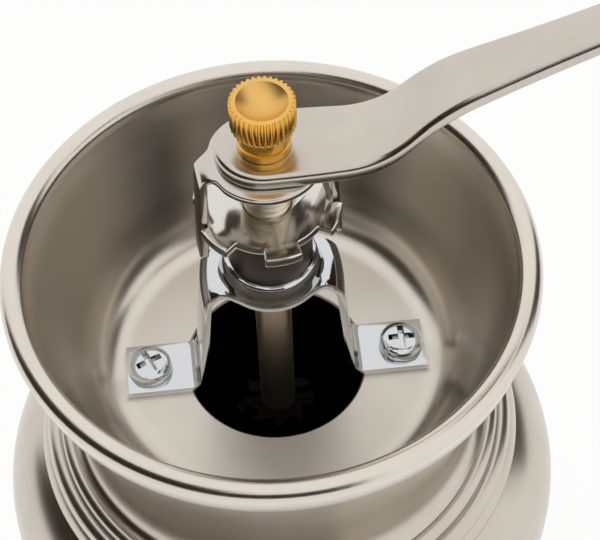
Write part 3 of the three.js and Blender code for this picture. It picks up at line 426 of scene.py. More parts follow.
def varnished_wood(name, dark, light):
    """Beech stained dark and varnished: long fine grain along the knob under a clear glossy coat."""
    material, tree, shader = new_material(name)
    place = node(tree, "ShaderNodeTexCoord").outputs["Object"]
    stretch = node(tree, "ShaderNodeMapping", Vector=place, Scale=(1.0, 1.0, GRAIN_DRAWN))
    grain = node(tree, "ShaderNodeTexNoise", Vector=stretch.outputs[0], Scale=1 / (WOOD_GRAIN_MM * MM),
                 Detail=6.0, Roughness=0.7, Distortion=0.4)
    ramp = node(tree, "ShaderNodeValToRGB", Fac=grain.outputs[0])
    for stop, at, colour in zip(ramp.color_ramp.elements, (0.3, 0.72), (dark, light)):
        stop.position, stop.color = at, linear(colour)
    bump = node(tree, "ShaderNodeBump", Strength=0.15, Distance=0.03 * MM, Height=grain.outputs[0])
    wired(tree, shader, Base_Color=ramp.outputs[0], Normal=bump.outputs[0], Roughness=0.35, Coat_Weight=0.8,
          Coat_Roughness=0.08)
    return material


# Grit of the mould in millimetres, which is about three times coarser than the real one, so that it shows
GRIT_MM = 0.35


def moulded(name, colour, roughness):
    """Black moulded plastic or rubber: a fine matt grain and a little unevenness in its gloss."""
    material, tree, shader = new_material(name)
    place = node(tree, "ShaderNodeTexCoord").outputs["Object"]
    grain = node(tree, "ShaderNodeTexNoise", Vector=place, Scale=1 / (GRIT_MM * MM), Detail=3.0)
    sheen = node(tree, "ShaderNodeMapRange", Value=grain.outputs[0], To_Min=roughness - 0.08,
                 To_Max=roughness + 0.1)
    bump = node(tree, "ShaderNodeBump", Strength=0.2, Distance=0.02 * MM, Height=grain.outputs[0])
    wired(tree, shader, Base_Color=linear(colour), Roughness=sheen.outputs[0], Normal=bump.outputs[0])
    return material


SATIN = spun_steel("satin_stainless_spun", "#d0c9be", "#bbb3a8", 0.25)
# The bowl's steel: rubbed more matt on the floor, and painted a third darker on the wall between 99 and 119.5
# mm high, which is painted shade
SATIN_FLOOR = spun_steel("satin_stainless_pressed", "#e0d9ce", "#cfc8bd", 0.23, matt_in=28.5,
                         painted_shade_band=(99.0, 119.5, 0.34))
ARM_STEEL = spun_steel("satin_stainless_strip", "#cfc8be", "#b9b1a6", 0.24, rings=0.0015, spun=False)
NICKEL = pressed_plate("bright_nickel_plate", "#d4d6d8", 0.07)
WHEEL_PLATE = pressed_plate("bright_nickel_turned", "#dbd8d3", 0.12)
HUB_STEEL = pressed_plate("oiled_black_hub", "#57514a", 0.36)
LOCK_NICKEL = pressed_plate("bright_nickel_domed", "#cdc7bf", 0.16)
TURNED = pressed_plate("turned_steel_rod", "#e6d8bf", 0.4, stain="#b9a888")
BRASS = spun_steel("polished_brass_turned", "#ecb857", "#dca540", 0.2, rings=0.001)
BRASS_SATIN = spun_steel("satin_brass_turned", "#efc273", "#d9a548", 0.4, rings=0.001)
BRONZE = spun_steel("sintered_bronze", "#a8713c", "#7d5027", 0.4)
# The burrs' near black is painted shade: it stands for the dark deep in the throat
BURR_STEEL = pressed_plate("blackened_burr_steel", "#171413", 0.55, stain="#241d1a")
CAST = pressed_plate("cast_iron_blacked", "#211c1a", 0.6, stain="#2f2623")
WOOD = varnished_wood("dark_varnished_beech", "#2a120a", "#54280f")
PLASTIC = moulded("black_moulded_plastic", "#1d1b1a", 0.5)
RUBBER = moulded("black_rubber", "#171615", 0.75)


# Cup of grounds: a foot, a straight waist and a round belly, drawn from one sheet

BELLY_R, BELLY_Z = 53.4, 56.5
# Radii of the belly's section above and below its widest place, and the sine at which the lower one ends
UPPER_BULGE, LOWER_BULGE, LOWER_END = 18.0, 30.0, 0.62
SEAM_Z, SEAM_R, CUP_SHEET = 72.4, 44.9, 1.0
BASE_R, BASE_CORNER, WAIST_INSET, WAIST_Z = 40.0, 4.0, 0.4, 24.0


def cup_profile():
    rise = SEAM_Z - BELLY_Z
    upper_angle = math.degrees(math.asin(rise / UPPER_BULGE))
    lower_angle = math.degrees(math.asin(LOWER_END))
    upper_centre = (BELLY_R - UPPER_BULGE, BELLY_Z)
    lower_centre = (BELLY_R - LOWER_BULGE, BELLY_Z)
    start = arc(lower_centre, LOWER_BULGE, -lower_angle, 0, 1)[0]
    waist_r = BASE_R - WAIST_INSET
    middle = bezier([(waist_r, WAIST_Z - BASE_CORNER), (waist_r, (start[1] + WAIST_Z) / 2), start], 16)
    return (arc((waist_r - BASE_CORNER, BASE_CORNER), BASE_CORNER, -90, 0, 8) + middle
            + arc(lower_centre, LOWER_BULGE, -lower_angle, 0, 16)[1:]
            + arc(upper_centre, UPPER_BULGE, 0, upper_angle, 20)[1:])


outer = cup_profile()
inner = drawn_in(outer, CUP_SHEET)
inner[0] = (outer[0][0], CUP_SHEET)
mouth = outer[-1]
inner[-1] = (mouth[0] - CUP_SHEET, mouth[1])
cup = turned("cup_body", [(0, 0)] + outer + inner[::-1] + [(0, CUP_SHEET)])
finished(cup, SATIN, "cup", "grounds_cup", slot="satin_steel")


# Upper shell: a shoulder with three grooves, and a neck that flares to the bowl

SHELL_SHEET, SEAM_GAP = 0.9, 0.3
GROOVES = [(44.0, 76.2), (41.3, 78.4), (38.9, 80.2)]
BEAD = 1.1
NECK_R, NECK_Z, SHELL_TOP = 35.8, 90.0, (43.9, 118.6)
# How far below and inside the top the neck starts to flare
FLARE_IN, FLARE_LOW = 1.1, 6


def bead(start, end, swell):
    """A rounded bead between two grooves."""
    middle = Vector(((start[0] + end[0]) / 2 + swell / 2, (start[1] + end[1]) / 2 + swell))
    ahead = (Vector(end) - Vector(start)).normalized()
    return bezier([start, tuple(middle - ahead * swell * 1.3), tuple(middle + ahead * swell), end], 10)


def shell_profile():
    bottom = (SEAM_R, SEAM_Z + SEAM_GAP)
    points = bezier([bottom, (SEAM_R + BEAD * 0.9, (bottom[1] + GROOVES[0][1]) / 2), GROOVES[0]], 10)
    points += bead(GROOVES[0], GROOVES[1], BEAD)[1:]
    points += bead(GROOVES[1], GROOVES[2], BEAD)[1:]
    neck_end = ((NECK_R + SHELL_TOP[0]) / 2, (NECK_Z * 2 + SHELL_TOP[1]) / 3 + BEAD)
    waist = NECK_R - BEAD
    points += bezier([GROOVES[2], (waist, GROOVES[2][1] + BEAD), (waist, NECK_Z + BEAD), neck_end,
                      (SHELL_TOP[0] - FLARE_IN, SHELL_TOP[1] - FLARE_LOW), SHELL_TOP], 40)[1:]
    return points


outer = shell_profile()
inner = drawn_in(outer, SHELL_SHEET)
inner[0] = (outer[0][0] - SHELL_SHEET, outer[0][1])
inner[-1] = (SHELL_TOP[0] - SHELL_SHEET, SHELL_TOP[1])
shell = turned("shoulder_and_neck", outer + inner[::-1])
finished(shell, SATIN, "upper", "upper_shell", slot="satin_steel")


# Hopper bowl: a flat floor with the throat's hole, a tight foot, a wall and a rim rolled outwards and down

RIM_R, RIM_Z, ROLL = 46.0, 122.3, 2.0
BOWL_SHEET, BOWL_FLOOR, THROAT_R = 0.9, 92.5, 16.25
FLAT_R, FOOT_R = 27.8, 31.4
WALL = [(33.9, 98.4), (35.3, 101.7), (37.7, 108.0), (39.9, 115.0)]
LIP_LOW, LIP_IN = 117.9, 0.85
# Chamfers of the lip's and the hole's edges, and the play between the hole and the housing under it
LIP_EDGE, HOLE_EDGE = 0.2, 0.3


def smooth_line(points, steps=6):
    """A smooth curve through points, of Catmull and Rom's kind."""
    result = [points[0]]
    extended = [points[0]] + points + [points[-1]]
    for i in range(1, len(extended) - 2):
        a, b, c, d = (Vector(p) for p in extended[i - 1:i + 3])
        for n in range(1, steps + 1):
            t = n / steps
            square, cube = (a * 2 - b * 5 + c * 4 - d) * t ** 2, (b * 3 - a - c * 3 + d) * t ** 3
            result.append(tuple((b * 2 + (c - a) * t + square + cube) / 2))
    return result


def bowl_profile():
    roll = (RIM_R - ROLL, RIM_Z)
    inside = ROLL - BOWL_SHEET
    foot = bezier([(FLAT_R - 1, BOWL_FLOOR), (FOOT_R, BOWL_FLOOR), WALL[0]], 14)
    wall = foot[:-1] + smooth_line(WALL + [(roll[0] - ROLL, roll[1])])
    under = drawn_in(wall, -BOWL_SHEET)
    under[0] = (wall[0][0], BOWL_FLOOR - BOWL_SHEET)
    under[-1] = (roll[0] - inside, roll[1])
    lip = RIM_R - LIP_IN
    return ([(THROAT_R + HOLE_EDGE, BOWL_FLOOR - BOWL_SHEET)] + under + arc(roll, inside, 180, 0, 16)[1:]
            + [(lip - BOWL_SHEET, LIP_LOW + LIP_EDGE), (lip - BOWL_SHEET + LIP_EDGE, LIP_LOW),
               (lip - LIP_EDGE, LIP_LOW), (lip, LIP_LOW + LIP_EDGE)]
            + arc(roll, ROLL, 0, 180, 20) + wall[::-1][1:]
            + [(THROAT_R + HOLE_EDGE, BOWL_FLOOR), (THROAT_R, BOWL_FLOOR - HOLE_EDGE),
               (THROAT_R, BOWL_FLOOR - BOWL_SHEET + HOLE_EDGE)])


bowl = turned("bowl", bowl_profile(), steps=192)
finished(bowl, SATIN_FLOOR, "upper", "hopper_bowl", slot="satin_steel")


# Bridge bracket: two feet, two legs and a strap in one strip, with the boss raised from the strap

BR_SHEET, BR_WIDTH, BR_TOP = 1.3, 10.2, 122.0
SHOULDER, ANKLE, FOOT = 11.1, 13.6, 27.2
ANKLE_BEND, SHOULDER_BEND = 2.6, 4.2
# Where the strap starts to widen to the boss, in from the shoulder, and where on the boss it arrives
STRAP_IN, STRAP_MORE, BOSS_JOIN = 1.6, 1.2, (0.62, 0.79)
BOSS_R, BOSS_TOP_R, BOSS_Z = 8.9, 7.2, 125.95
BUSH_R = 4.9
BRIDGE_EDGE = 0.35
# The strap's and legs' slight crown across their width: its rise, the height it starts at, the planes that
# the mesh is cut by to take it, how far inside the boss it begins and over what length it comes in
CROWN, CROWN_FROM = 0.6, 108.0
CROWN_CUTS = [-3.8, -2.5, -1.2, 0, 1.2, 2.5, 3.8]
CROWN_IN, CROWN_FADE = 0.6, 1.5
LAID = Matrix.Rotation(math.radians(90), 4, "X")


def band(path, sheet):
    """Outline of a strip of sheet whose middle line is a path of (x, z) points."""
    points = [Vector(p) for p in path]
    sides = []
    for i, point in enumerate(points):
        before, after = points[max(i - 1, 0)], points[min(i + 1, len(points) - 1)]
        into = (point - before).normalized() if i else (after - point).normalized()
        out = (after - point).normalized() if i < len(points) - 1 else into
        along = (into + out).normalized()
        share = max(along.dot(into), 0.5)
        sides.append(Vector((-along.y, along.x)) * sheet / 2 / share)
    return [tuple(p + s) for p, s in zip(points, sides)] + [tuple(p - s) for p, s in zip(points, sides)][::-1]


def bridge_plan():
    """The bracket seen from above: a round boss between two straight feet."""
    bend_in = SHOULDER - STRAP_IN
    plan = []
    for sx, sy in ((1, 1), (-1, 1), (-1, -1), (1, -1)):
        quarter = [(FOOT, BR_WIDTH / 2)]
        quarter += eased([(FOOT, BR_WIDTH / 2), (bend_in - STRAP_MORE, BR_WIDTH / 2),
                          (BOSS_R * BOSS_JOIN[0], BOSS_R * BOSS_JOIN[1])], [0, ANKLE_BEND, 0], 8,
                         closed=False)[1:-1]
        quarter += arc((0, 0), BOSS_R, 50, 90, 10)
        quarter = [(x * sx, y * sy) for x, y in quarter]
        plan += quarter if sx * sy > 0 else quarter[::-1]
    return plan


def boss_dome(bore, low):
    """Section of the boss: a steep side that rounds over to a flat top."""
    skirt, brow = (BOSS_R - 0.45, BR_TOP + 1.2), (BOSS_R - 1.15, BOSS_Z - 0.4)
    side = BOSS_R - 0.05
    return ([(bore, low + 0.2), (BOSS_R - 0.3, low + 0.2), (side, low + 0.5), (side, BR_TOP - 0.2)]
            + bezier([(BOSS_R - 0.15, BR_TOP + 0.05), (BOSS_R - 0.35, BR_TOP + 0.5), skirt], 6)
            + bezier([skirt, (BOSS_R - 0.7, BOSS_Z - 1.0), brow], 10)[1:]
            + bezier([brow, (BOSS_TOP_R, BOSS_Z - 0.05), (BOSS_TOP_R - 1.2, BOSS_Z)], 8)[1:]
            + [(bore, BOSS_Z)])


def bridge_bracket():
    half = BR_SHEET / 2
    side = [(FOOT, BOWL_FLOOR + half), (ANKLE, BOWL_FLOOR + half), (SHOULDER, BR_TOP - half)]
    bends = [0, ANKLE_BEND, SHOULDER_BEND, SHOULDER_BEND, ANKLE_BEND, 0]
    path = eased(side + [(-x, z) for x, z in side[::-1]], bends, 10, closed=False)
    blank = BOSS_R * 2 + 2
    made = extruded("bridge", band(path, BR_SHEET), -blank / 2, blank / 2, LAID)
    cut(made, extruded("plan", bridge_plan(), BOWL_FLOOR - 1, BR_TOP + 1), "INTERSECT")
    softened(made, BRIDGE_EDGE)
    low, bore = BR_TOP - BR_SHEET, BUSH_R + 0.1
    cut(made, turned("dome", boss_dome(bore, low), steps=128), "UNION")
    hollow = [(0, low - 1), (BOSS_TOP_R - 0.65, low - 1), (BOSS_TOP_R - 1.3, BOSS_Z - BR_SHEET),
              (bore, BOSS_Z - BR_SHEET), (bore, BOSS_Z + 1), (0, BOSS_Z + 1)]
    cut(made, turned("hollow", hollow, steps=96))
    sliced(made, 1, CROWN_CUTS)

    def crowned(spot):
        rise = min(max((spot.z - CROWN_FROM) / (BR_TOP - CROWN_FROM), 0), 1)
        across = max(1 - (spot.y / (BR_WIDTH / 2)) ** 2, 0)
        side = min(max((abs(spot.x) - BOSS_R + CROWN_IN) / CROWN_FADE, 0), 1)
        return Vector((spot.x + math.copysign(CROWN * rise * across * side, spot.x), spot.y, spot.z))

    return bent(made, crowned)


finished(bridge_bracket(), NICKEL, "upper", "bridge_bracket", slot="bright_plate")


# Bridge screws: pan heads with a cross recess, repeated along the bridge

SCREW_REACH, SCREW_HEAD_R, SCREW_HEAD, SCREW_TURN = 23.05, 4.0, 2.5, 24.0
SCREW_SEAT = BOWL_FLOOR + BR_SHEET
SHANK_R, SHANK_END, SHANK_BELOW = 1.9, 1.6, 8.1
# Height of the head's straight side, and the recess: its depth, and half its length and width, low and high
HEAD_SIDE = 1.15
RECESS_DEPTH, RECESS_LOW, RECESS_HIGH, RECESS_OVER = 1.5, (1.5, 0.35), (2.75, 0.66), 0.4


def screw():
    top = SCREW_SEAT + SCREW_HEAD
    tip = BOWL_FLOOR - SHANK_BELOW
    side = (SCREW_HEAD_R, SCREW_SEAT + HEAD_SIDE)
    crown = eased([(0, tip), (SHANK_END, tip), (SHANK_R, tip + 0.5), (SHANK_R, SCREW_SEAT),
                   (SCREW_HEAD_R, SCREW_SEAT), side], [0, 0, 0, 0, 0.25, 0], 4, closed=False)
    crown += bezier([side, (SCREW_HEAD_R - 0.25, top - 0.25), (SCREW_HEAD_R - 1.3, top), (0, top)], 14)[1:]
    made = turned("bridge_screw", crown, steps=64)
    for turn in (0, 90):
        bm = bmesh.new()
        rows = []
        for z, (length, width) in ((top - RECESS_DEPTH, RECESS_LOW), (top + RECESS_OVER, RECESS_HIGH)):
            corners = ((-1, -1), (1, -1), (1, 1), (-1, 1))
            rows.append([bm.verts.new((x * length, y * width, z)) for x, y in corners])
        bm.faces.new(rows[0])
        bm.faces.new(rows[1])
        band_of(rows, bm)
        cut(made, placed(from_bmesh("recess", bm), turn=turn))
    return resharpened(made)


def repeated(name, source, material, copies, reach=0.0, own_turn=0.0, merge=0.0):
    """Copies of a mesh round the shaft's axis, made by a node tree with its sizes as named inputs."""
    tree = bpy.data.node_groups.new(name, "GeometryNodeTree")
    faces = tree.interface
    for label, kind in (("Copies", "Int"), ("Reach", "Float"), ("Own turn", "Float"),
                        ("Merge distance", "Float"), ("Piece", "Object"), ("Finish", "Material")):
        faces.new_socket(label, in_out="INPUT", socket_type="NodeSocket" + kind)
    faces.new_socket("Geometry", in_out="OUTPUT", socket_type="NodeSocketGeometry")
    given = tree.nodes.new("NodeGroupInput").outputs
    step = node(tree, "ShaderNodeMath", {"operation": "DIVIDE"}, in0=math.tau, in1=given["Copies"])
    index = node(tree, "GeometryNodeInputIndex")
    angle = node(tree, "ShaderNodeMath", {"operation": "MULTIPLY"}, in0=index.outputs[0], in1=step.outputs[0])
    own = node(tree, "ShaderNodeMath", {"operation": "MULTIPLY_ADD"}, in0=index.outputs[0],
               in1=given["Own turn"], in2=angle.outputs[0])
    spot = node(tree, "FunctionNodeAxisAngleToRotation", Axis=(0, 0, 1), Angle=angle.outputs[0])
    away = node(tree, "ShaderNodeCombineXYZ", X=given["Reach"])
    place = node(tree, "FunctionNodeRotateVector", Vector=away.outputs[0], Rotation=spot.outputs[0])
    turn = node(tree, "FunctionNodeAxisAngleToRotation", Axis=(0, 0, 1), Angle=own.outputs[0])
    points = node(tree, "GeometryNodePoints", Count=given["Copies"], Position=place.outputs[0])
    piece = node(tree, "GeometryNodeObjectInfo", Object=given["Piece"])
    made = node(tree, "GeometryNodeInstanceOnPoints", Points=points.outputs[0],
                Instance=piece.outputs["Geometry"], Rotation=turn.outputs[0])
    real = node(tree, "GeometryNodeRealizeInstances", Geometry=made.outputs[0])
    merged = node(tree, "GeometryNodeMergeByDistance", Geometry=real.outputs[0],
                  Distance=given["Merge distance"])
    coated = node(tree, "GeometryNodeSetMaterial", Geometry=merged.outputs[0], Material=given["Finish"])
    node(tree, "NodeGroupOutput", Geometry=coated.outputs[0])
    obj = collection_object(name, bpy.data.meshes.new(name))
    modifier = obj.modifiers.new("repeat", "NODES")
    modifier.node_group = tree
    values = {"Copies": copies, "Reach": reach * MM, "Own turn": math.radians(own_turn),
              "Merge distance": merge * MM, "Piece": source, "Finish": material}
    for item in faces.items_tree:
        if item.item_type == "SOCKET" and item.in_out == "INPUT":
            modifier[item.identifier] = values[item.name]
    apply(obj)
    bpy.data.objects.remove(source)
    return resharpened(obj)


screws = repeated("bridge_screws", screw(), NICKEL, 2, reach=SCREW_REACH, own_turn=SCREW_TURN)
finished(screws, NICKEL, "upper", "bridge_screw_left", "bridge_screw_right", slot="bright_plate")


# Adjusting wheel: a disc with six teeth and notches on a dark hub

LOCK_TURN = 7.5
HUB_R, DISC_TOP, DISC_H, TOOTH_R, NOTCH_R, WHEEL_BORE = 7.2, 139.5, 1.8, 12.2, 9.75, 3.96
HUB_LOW = BOSS_Z + 0.1
TEETH = 6
# Half a notch's angle, a tooth's two ends, the steps of each arc, and the rounding of the corners
NOTCH_HALF, TOOTH_FROM, TOOTH_TO = 13.2, 15.4, 44.6
NOTCH_STEPS, TOOTH_STEPS, TOOTH_CORNER = 6, 8, 0.35
DISC_EDGE = 0.32


def wheel():
    outline = []
    for i in range(TEETH):
        start = i * 360 / TEETH
        outline += arc((0, 0), NOTCH_R, start - NOTCH_HALF, start + NOTCH_HALF, NOTCH_STEPS)
        outline += arc((0, 0), TOOTH_R, start + TOOTH_FROM, start + TOOTH_TO, TOOTH_STEPS)
    each = NOTCH_STEPS + TOOTH_STEPS + 2
    corners = (0, NOTCH_STEPS, NOTCH_STEPS + 1, each - 1)
    ring = eased(outline, [TOOTH_CORNER if n % each in corners else 0 for n in range(len(outline))], 4)
    disc = extruded("disc", ring, DISC_TOP - DISC_H, DISC_TOP)
    cut(disc, turned("bore", [(0, 120), (WHEEL_BORE, 120), (WHEEL_BORE, 150), (0, 150)], steps=64))
    softened(disc, DISC_EDGE)
    hub = [(WHEEL_BORE, HUB_LOW), (HUB_R, HUB_LOW), (HUB_R, DISC_TOP - 0.6), (WHEEL_BORE, DISC_TOP - 0.6)]
    cut(disc, turned("hub", eased(hub, [0.2, 0.3, 0, 0], 4), steps=128), "UNION")
    disc.name = "wheel"
    return placed(resharpened(disc), turn=LOCK_TURN)


made = finished(wheel(), WHEEL_PLATE, "wheel", "adjusting_wheel", slot="bright_plate")
second_finish(made, HUB_STEEL, HUB_R + 0.1, below=DISC_TOP - DISC_H - 0.05)


# Lock plate

PLATE_LOW, PLATE_SHEET, PLATE_R = 149.9, 1.2, 9.3
LEG_SHEET, LEG_W, LEG_TIP, LEG_LEAN = 1.4, 5.0, 129.4, 87.4
FOLD_FROM, FOLD_R, FOLD_STEPS = 8.5, 2.0, 10
# Rounding where a tab leaves the disc, what its end's corners leave straight, and the edges
TAB_ROOT, TAB_STRAIGHT, LOCK_EDGE = 2.4, 0.4, 0.4
PLATE_TOP = PLATE_LOW + PLATE_SHEET


def lock_plate():
    """A flat blank, a disc with two tabs, whose tabs are folded down to legs."""
    lean = math.radians(LEG_LEAN)
    middle = PLATE_TOP - LEG_SHEET / 2
    straight = (middle - LEG_TIP - FOLD_R * (1 - math.cos(lean))) / math.sin(lean)
    reach = FOLD_FROM + FOLD_R * lean + straight
    half = LEG_W / 2
    root = math.sqrt(PLATE_R ** 2 - half ** 2)
    corners, radii = [], []
    for side in (1, -1):
        rim = [(x * side, y * side) for x, y in arc((0, 0), PLATE_R, 34, 146, 40)]
        corners += [(reach * side, -half * side), (reach * side, half * side), (root * side, half * side)]
        corners += rim + [(-root * side, half * side)]
        radii += [half - TAB_STRAIGHT, half - TAB_STRAIGHT, TAB_ROOT] + [0] * len(rim) + [TAB_ROOT]
    blank = extruded("lock_plate", eased(corners, radii, 8), -LEG_SHEET / 2, LEG_SHEET / 2)
    softened(blank, LOCK_EDGE)
    folds = [FOLD_FROM + FOLD_R * lean * i / FOLD_STEPS for i in range(FOLD_STEPS + 1)]
    sliced(blank, 0, folds + [-x for x in folds])

    def folded(spot):
        over = abs(spot.x) - FOLD_FROM
        if over <= 0:
            return Vector((spot.x, spot.y, middle + spot.z))
        turn = min(over / FOLD_R, lean)
        rest = max(over - FOLD_R * lean, 0)
        out = FOLD_FROM + (FOLD_R + spot.z) * math.sin(turn) + rest * math.cos(lean)
        down = FOLD_R - (FOLD_R + spot.z) * math.cos(turn) + rest * math.sin(lean)
        return Vector((math.copysign(out, spot.x), spot.y, middle - down))

    return placed(bent(blank, folded), turn=LOCK_TURN)


finished(lock_plate(), LOCK_NICKEL, "crank", "lock_plate", slot="bright_plate")


# Shaft with a cut thread, a square that turns the inner crank, and a stud for the cap nut

ROD_R, THREAD_R, PITCH, THREAD_DEPTH = 3.2, 3.9, 1.25, 0.62
THREAD_LOW, THREAD_HIGH = 127.0, PLATE_LOW
# Rows of points to a turn of the thread, rows over which it runs out, and how narrow its groove is
THREAD_ROWS, RUN_OUT, GROOVE_NARROW = 8, 10, 2.5
SHAFT_STEPS = 64
# Below the thread: the journal, the step to the rod, and the thinner end with its chamfer
SHAFT_LOW = [(THREAD_R, 122.1), (ROD_R, 121.4), (ROD_R, 51.3), (2.9, 51.3), (2.9, 45.2), (2.4, 44.7)]
SQUARE_HALF, SQUARE_H, SQUARE_EDGE = 2.7, 3.8, 0.3
STUD_R, STUD_END_R, STUD_H, STUD_SUNK = 2.45, 1.95, 10.0, 0.5


def shaft():
    bm = bmesh.new()

    def ring_of(radii, height):
        turns = [math.tau * i / SHAFT_STEPS for i in range(SHAFT_STEPS)]
        return [bm.verts.new((r * math.cos(a), r * math.sin(a), height)) for r, a in zip(radii, turns)]

    rows = int((THREAD_HIGH - THREAD_LOW) / PITCH * THREAD_ROWS)
    grid = []
    for row in range(rows + 1):
        height = THREAD_LOW + (THREAD_HIGH - THREAD_LOW) * row / rows
        fade = min(1, row / RUN_OUT)
        radii = []
        for i in range(SHAFT_STEPS):
            phase = (height / PITCH - i / SHAFT_STEPS) % 1
            groove = max(0.0, 1 - abs(phase - 0.5) * GROOVE_NARROW) * fade
            radii.append(THREAD_R - THREAD_DEPTH * groove)
        grid.append(ring_of(radii, height))
    rings = [grid[0]] + [ring_of([radius] * SHAFT_STEPS, height) for radius, height in SHAFT_LOW]
    band_of(grid, bm)
    band_of(rings, bm)
    bm.faces.new(rings[-1])
    bm.faces.new(grid[-1])
    made = from_bmesh("shaft", bm)
    low, side = PLATE_LOW - STUD_SUNK, SQUARE_HALF
    square = extruded("square", [(-side, -side), (side, -side), (side, side), (-side, side)], low,
                      PLATE_LOW + SQUARE_H)
    cut(made, softened(square, SQUARE_EDGE), "UNION")
    stud = turned("stud", [(0, low), (STUD_R, low), (STUD_R, PLATE_LOW + STUD_H - 0.5),
                           (STUD_END_R, PLATE_LOW + STUD_H), (0, PLATE_LOW + STUD_H)], steps=48)
    return resharpened(cut(made, stud, "UNION"))


finished(shaft(), TURNED, "shaft", "drive_shaft", slot="turned_steel")


# Crank arm: the outline in plan, rounded at the edges, bent to its side view

ARM_SHEET, HUB_HALF, HUB_END, TIP_HALF, TAPER = 2.7, 7.2, 7.95, 4.0, 56.0
ARM_TOP = PLATE_TOP + ARM_SHEET
CRANK_R, EYE_R = 59.0, 5.0
# Where the arm bends, as (reach, rise), and the radii of its path's corners from end to end
BENDS = [(17.8, 0.0), (27.3, 10.0), (52.5, 21.2)]
BEND_RADII = [0, 13, 28, 4, 0]
EYE_TOP = ARM_TOP + BENDS[-1][1]
HUB_STEPS, TAPER_STEPS, EYE_STEPS = 24, 56, 24
# Rounding of the arm's lower and upper edges, and the insets of the rings that carry it on to the flats
LOW_EDGE, TOP_EDGE = 0.55, 0.95
LOW_FLAT, TOP_FLAT = (1.35, 0.9), (1.5, 2.2)


def arm_plan():
    """Half of the arm seen from above: a blunt round end, a tapered strip and a round eye."""
    plan = []
    for i in range(HUB_STEPS + 1):
        angle = math.pi - math.pi / 2 * i / HUB_STEPS
        plan.append((HUB_END * math.cos(angle), HUB_HALF * math.sin(angle)))
    for i in range(1, TAPER_STEPS + 1):
        reach = TAPER * i / TAPER_STEPS
        share = (1 + math.cos(math.pi * i / TAPER_STEPS)) / 2
        width = TIP_HALF + (HUB_HALF - TIP_HALF) * share
        eye = EYE_R ** 2 - (reach - CRANK_R) ** 2
        plan.append((reach, max(width, math.sqrt(eye) if eye > 0 else 0)))
    start = math.degrees(math.acos((TAPER - CRANK_R) / EYE_R))
    return plan + [(x + CRANK_R, y) for x, y in arc((0, 0), EYE_R, start, 0, EYE_STEPS)][1:]


def arm():
    level = ARM_TOP - ARM_SHEET / 2
    path = [(-HUB_END - 1, level)] + [(x, level + z) for x, z in BENDS]
    path += [(CRANK_R + EYE_R + 1, level + BENDS[-1][1])]
    line = eased(path, BEND_RADII, 18, closed=False)
    plan = arm_plan()

    def lifted(reach, height):
        """Height on the bent strip of a point of the flat one."""
        for (x0, z0), (x1, z1) in zip(line, line[1:]):
            if reach <= x1:
                break
        share = (reach - x0) / (x1 - x0)
        return z0 + (z1 - z0) * share + height

    half = ARM_SHEET / 2
    rings = [(inset, -half) for inset in LOW_FLAT]
    for a in (0.0, 0.5, 1.05, math.pi / 2):
        rings.append((LOW_EDGE - LOW_EDGE * math.sin(a), -half + LOW_EDGE - LOW_EDGE * math.cos(a)))
    for a in (math.pi / 2, 1.2, 0.8, 0.4, 0.0):
        rings.append((TOP_EDGE - TOP_EDGE * math.sin(a), half - TOP_EDGE + TOP_EDGE * math.cos(a)))
    rings += [(inset, half) for inset in TOP_FLAT]
    bm = bmesh.new()
    whole = plan + [(x, -y) for x, y in plan[1:-1][::-1]]
    count = len(whole)
    levels = []
    for inset, height in rings:
        ring = []
        for i, point in enumerate(whole):
            before, after = Vector(whole[i - 1]), Vector(whole[(i + 1) % count])
            along = (after - before).normalized()
            inward = Vector((along.y, -along.x))
            spot = Vector(point) + inward * inset
            ring.append(bm.verts.new((spot.x, spot.y, lifted(spot.x, height))))
        levels.append(ring)
    band_of(levels, bm)
    for ring in (levels[0], levels[-1]):
        last = len(plan) - 1
        bm.faces.new((ring[0], ring[1], ring[-1]))
        for i in range(1, last - 1):
            bm.faces.new((ring[i], ring[i + 1], ring[count - i - 1], ring[count - i]))
        bm.faces.new((ring[last - 1], ring[last], ring[count - last + 1]))
    return from_bmesh("arm", bm)


finished(arm(), ARM_STEEL, "crank", "crank_arm", slot="satin_steel")


# Brass cap nut: a turned body, and a knurled head of one ridge repeated

NECK_NUT_R, NECK_NUT_H, HEAD_NUT_R, HEAD_NUT_H, NUT_BORE = 4.3, 4.6, 5.2, 5.3, 2.7
KNURLS, KNURL_DEPTH, DISH_R, DISH, DISH_STEPS = 34, 0.42, 4.05, 1.6, 14
# One ridge and half a groove on each side: share of the knurl's depth at each step across
RIDGE_SHARES = [1.0, 0.95, 0.35, 0.0, 0.0, 0.35, 0.95, 1.0]
# The neck's groove: how far up the neck it is, and how deep
NUT_GROOVE_AT, NUT_GROOVE = 0.4, 0.4
# Ridges nearer than this are joined
RIDGE_MERGE = 0.002


def nut_neck():
    low, high = ARM_TOP, ARM_TOP + NECK_NUT_H + 0.5
    groove, deep = low + NECK_NUT_H * NUT_GROOVE_AT, NECK_NUT_R - NUT_GROOVE
    body = [(NUT_BORE, low), (NECK_NUT_R - 0.2, low), (NECK_NUT_R, low + 0.2), (NECK_NUT_R, groove - 0.4),
            (deep, groove - 0.25), (deep, groove + 0.15), (NECK_NUT_R, groove + 0.35), (NECK_NUT_R, high),
            (NUT_BORE, high)]
    return turned("cap_nut_brass", body, steps=96)


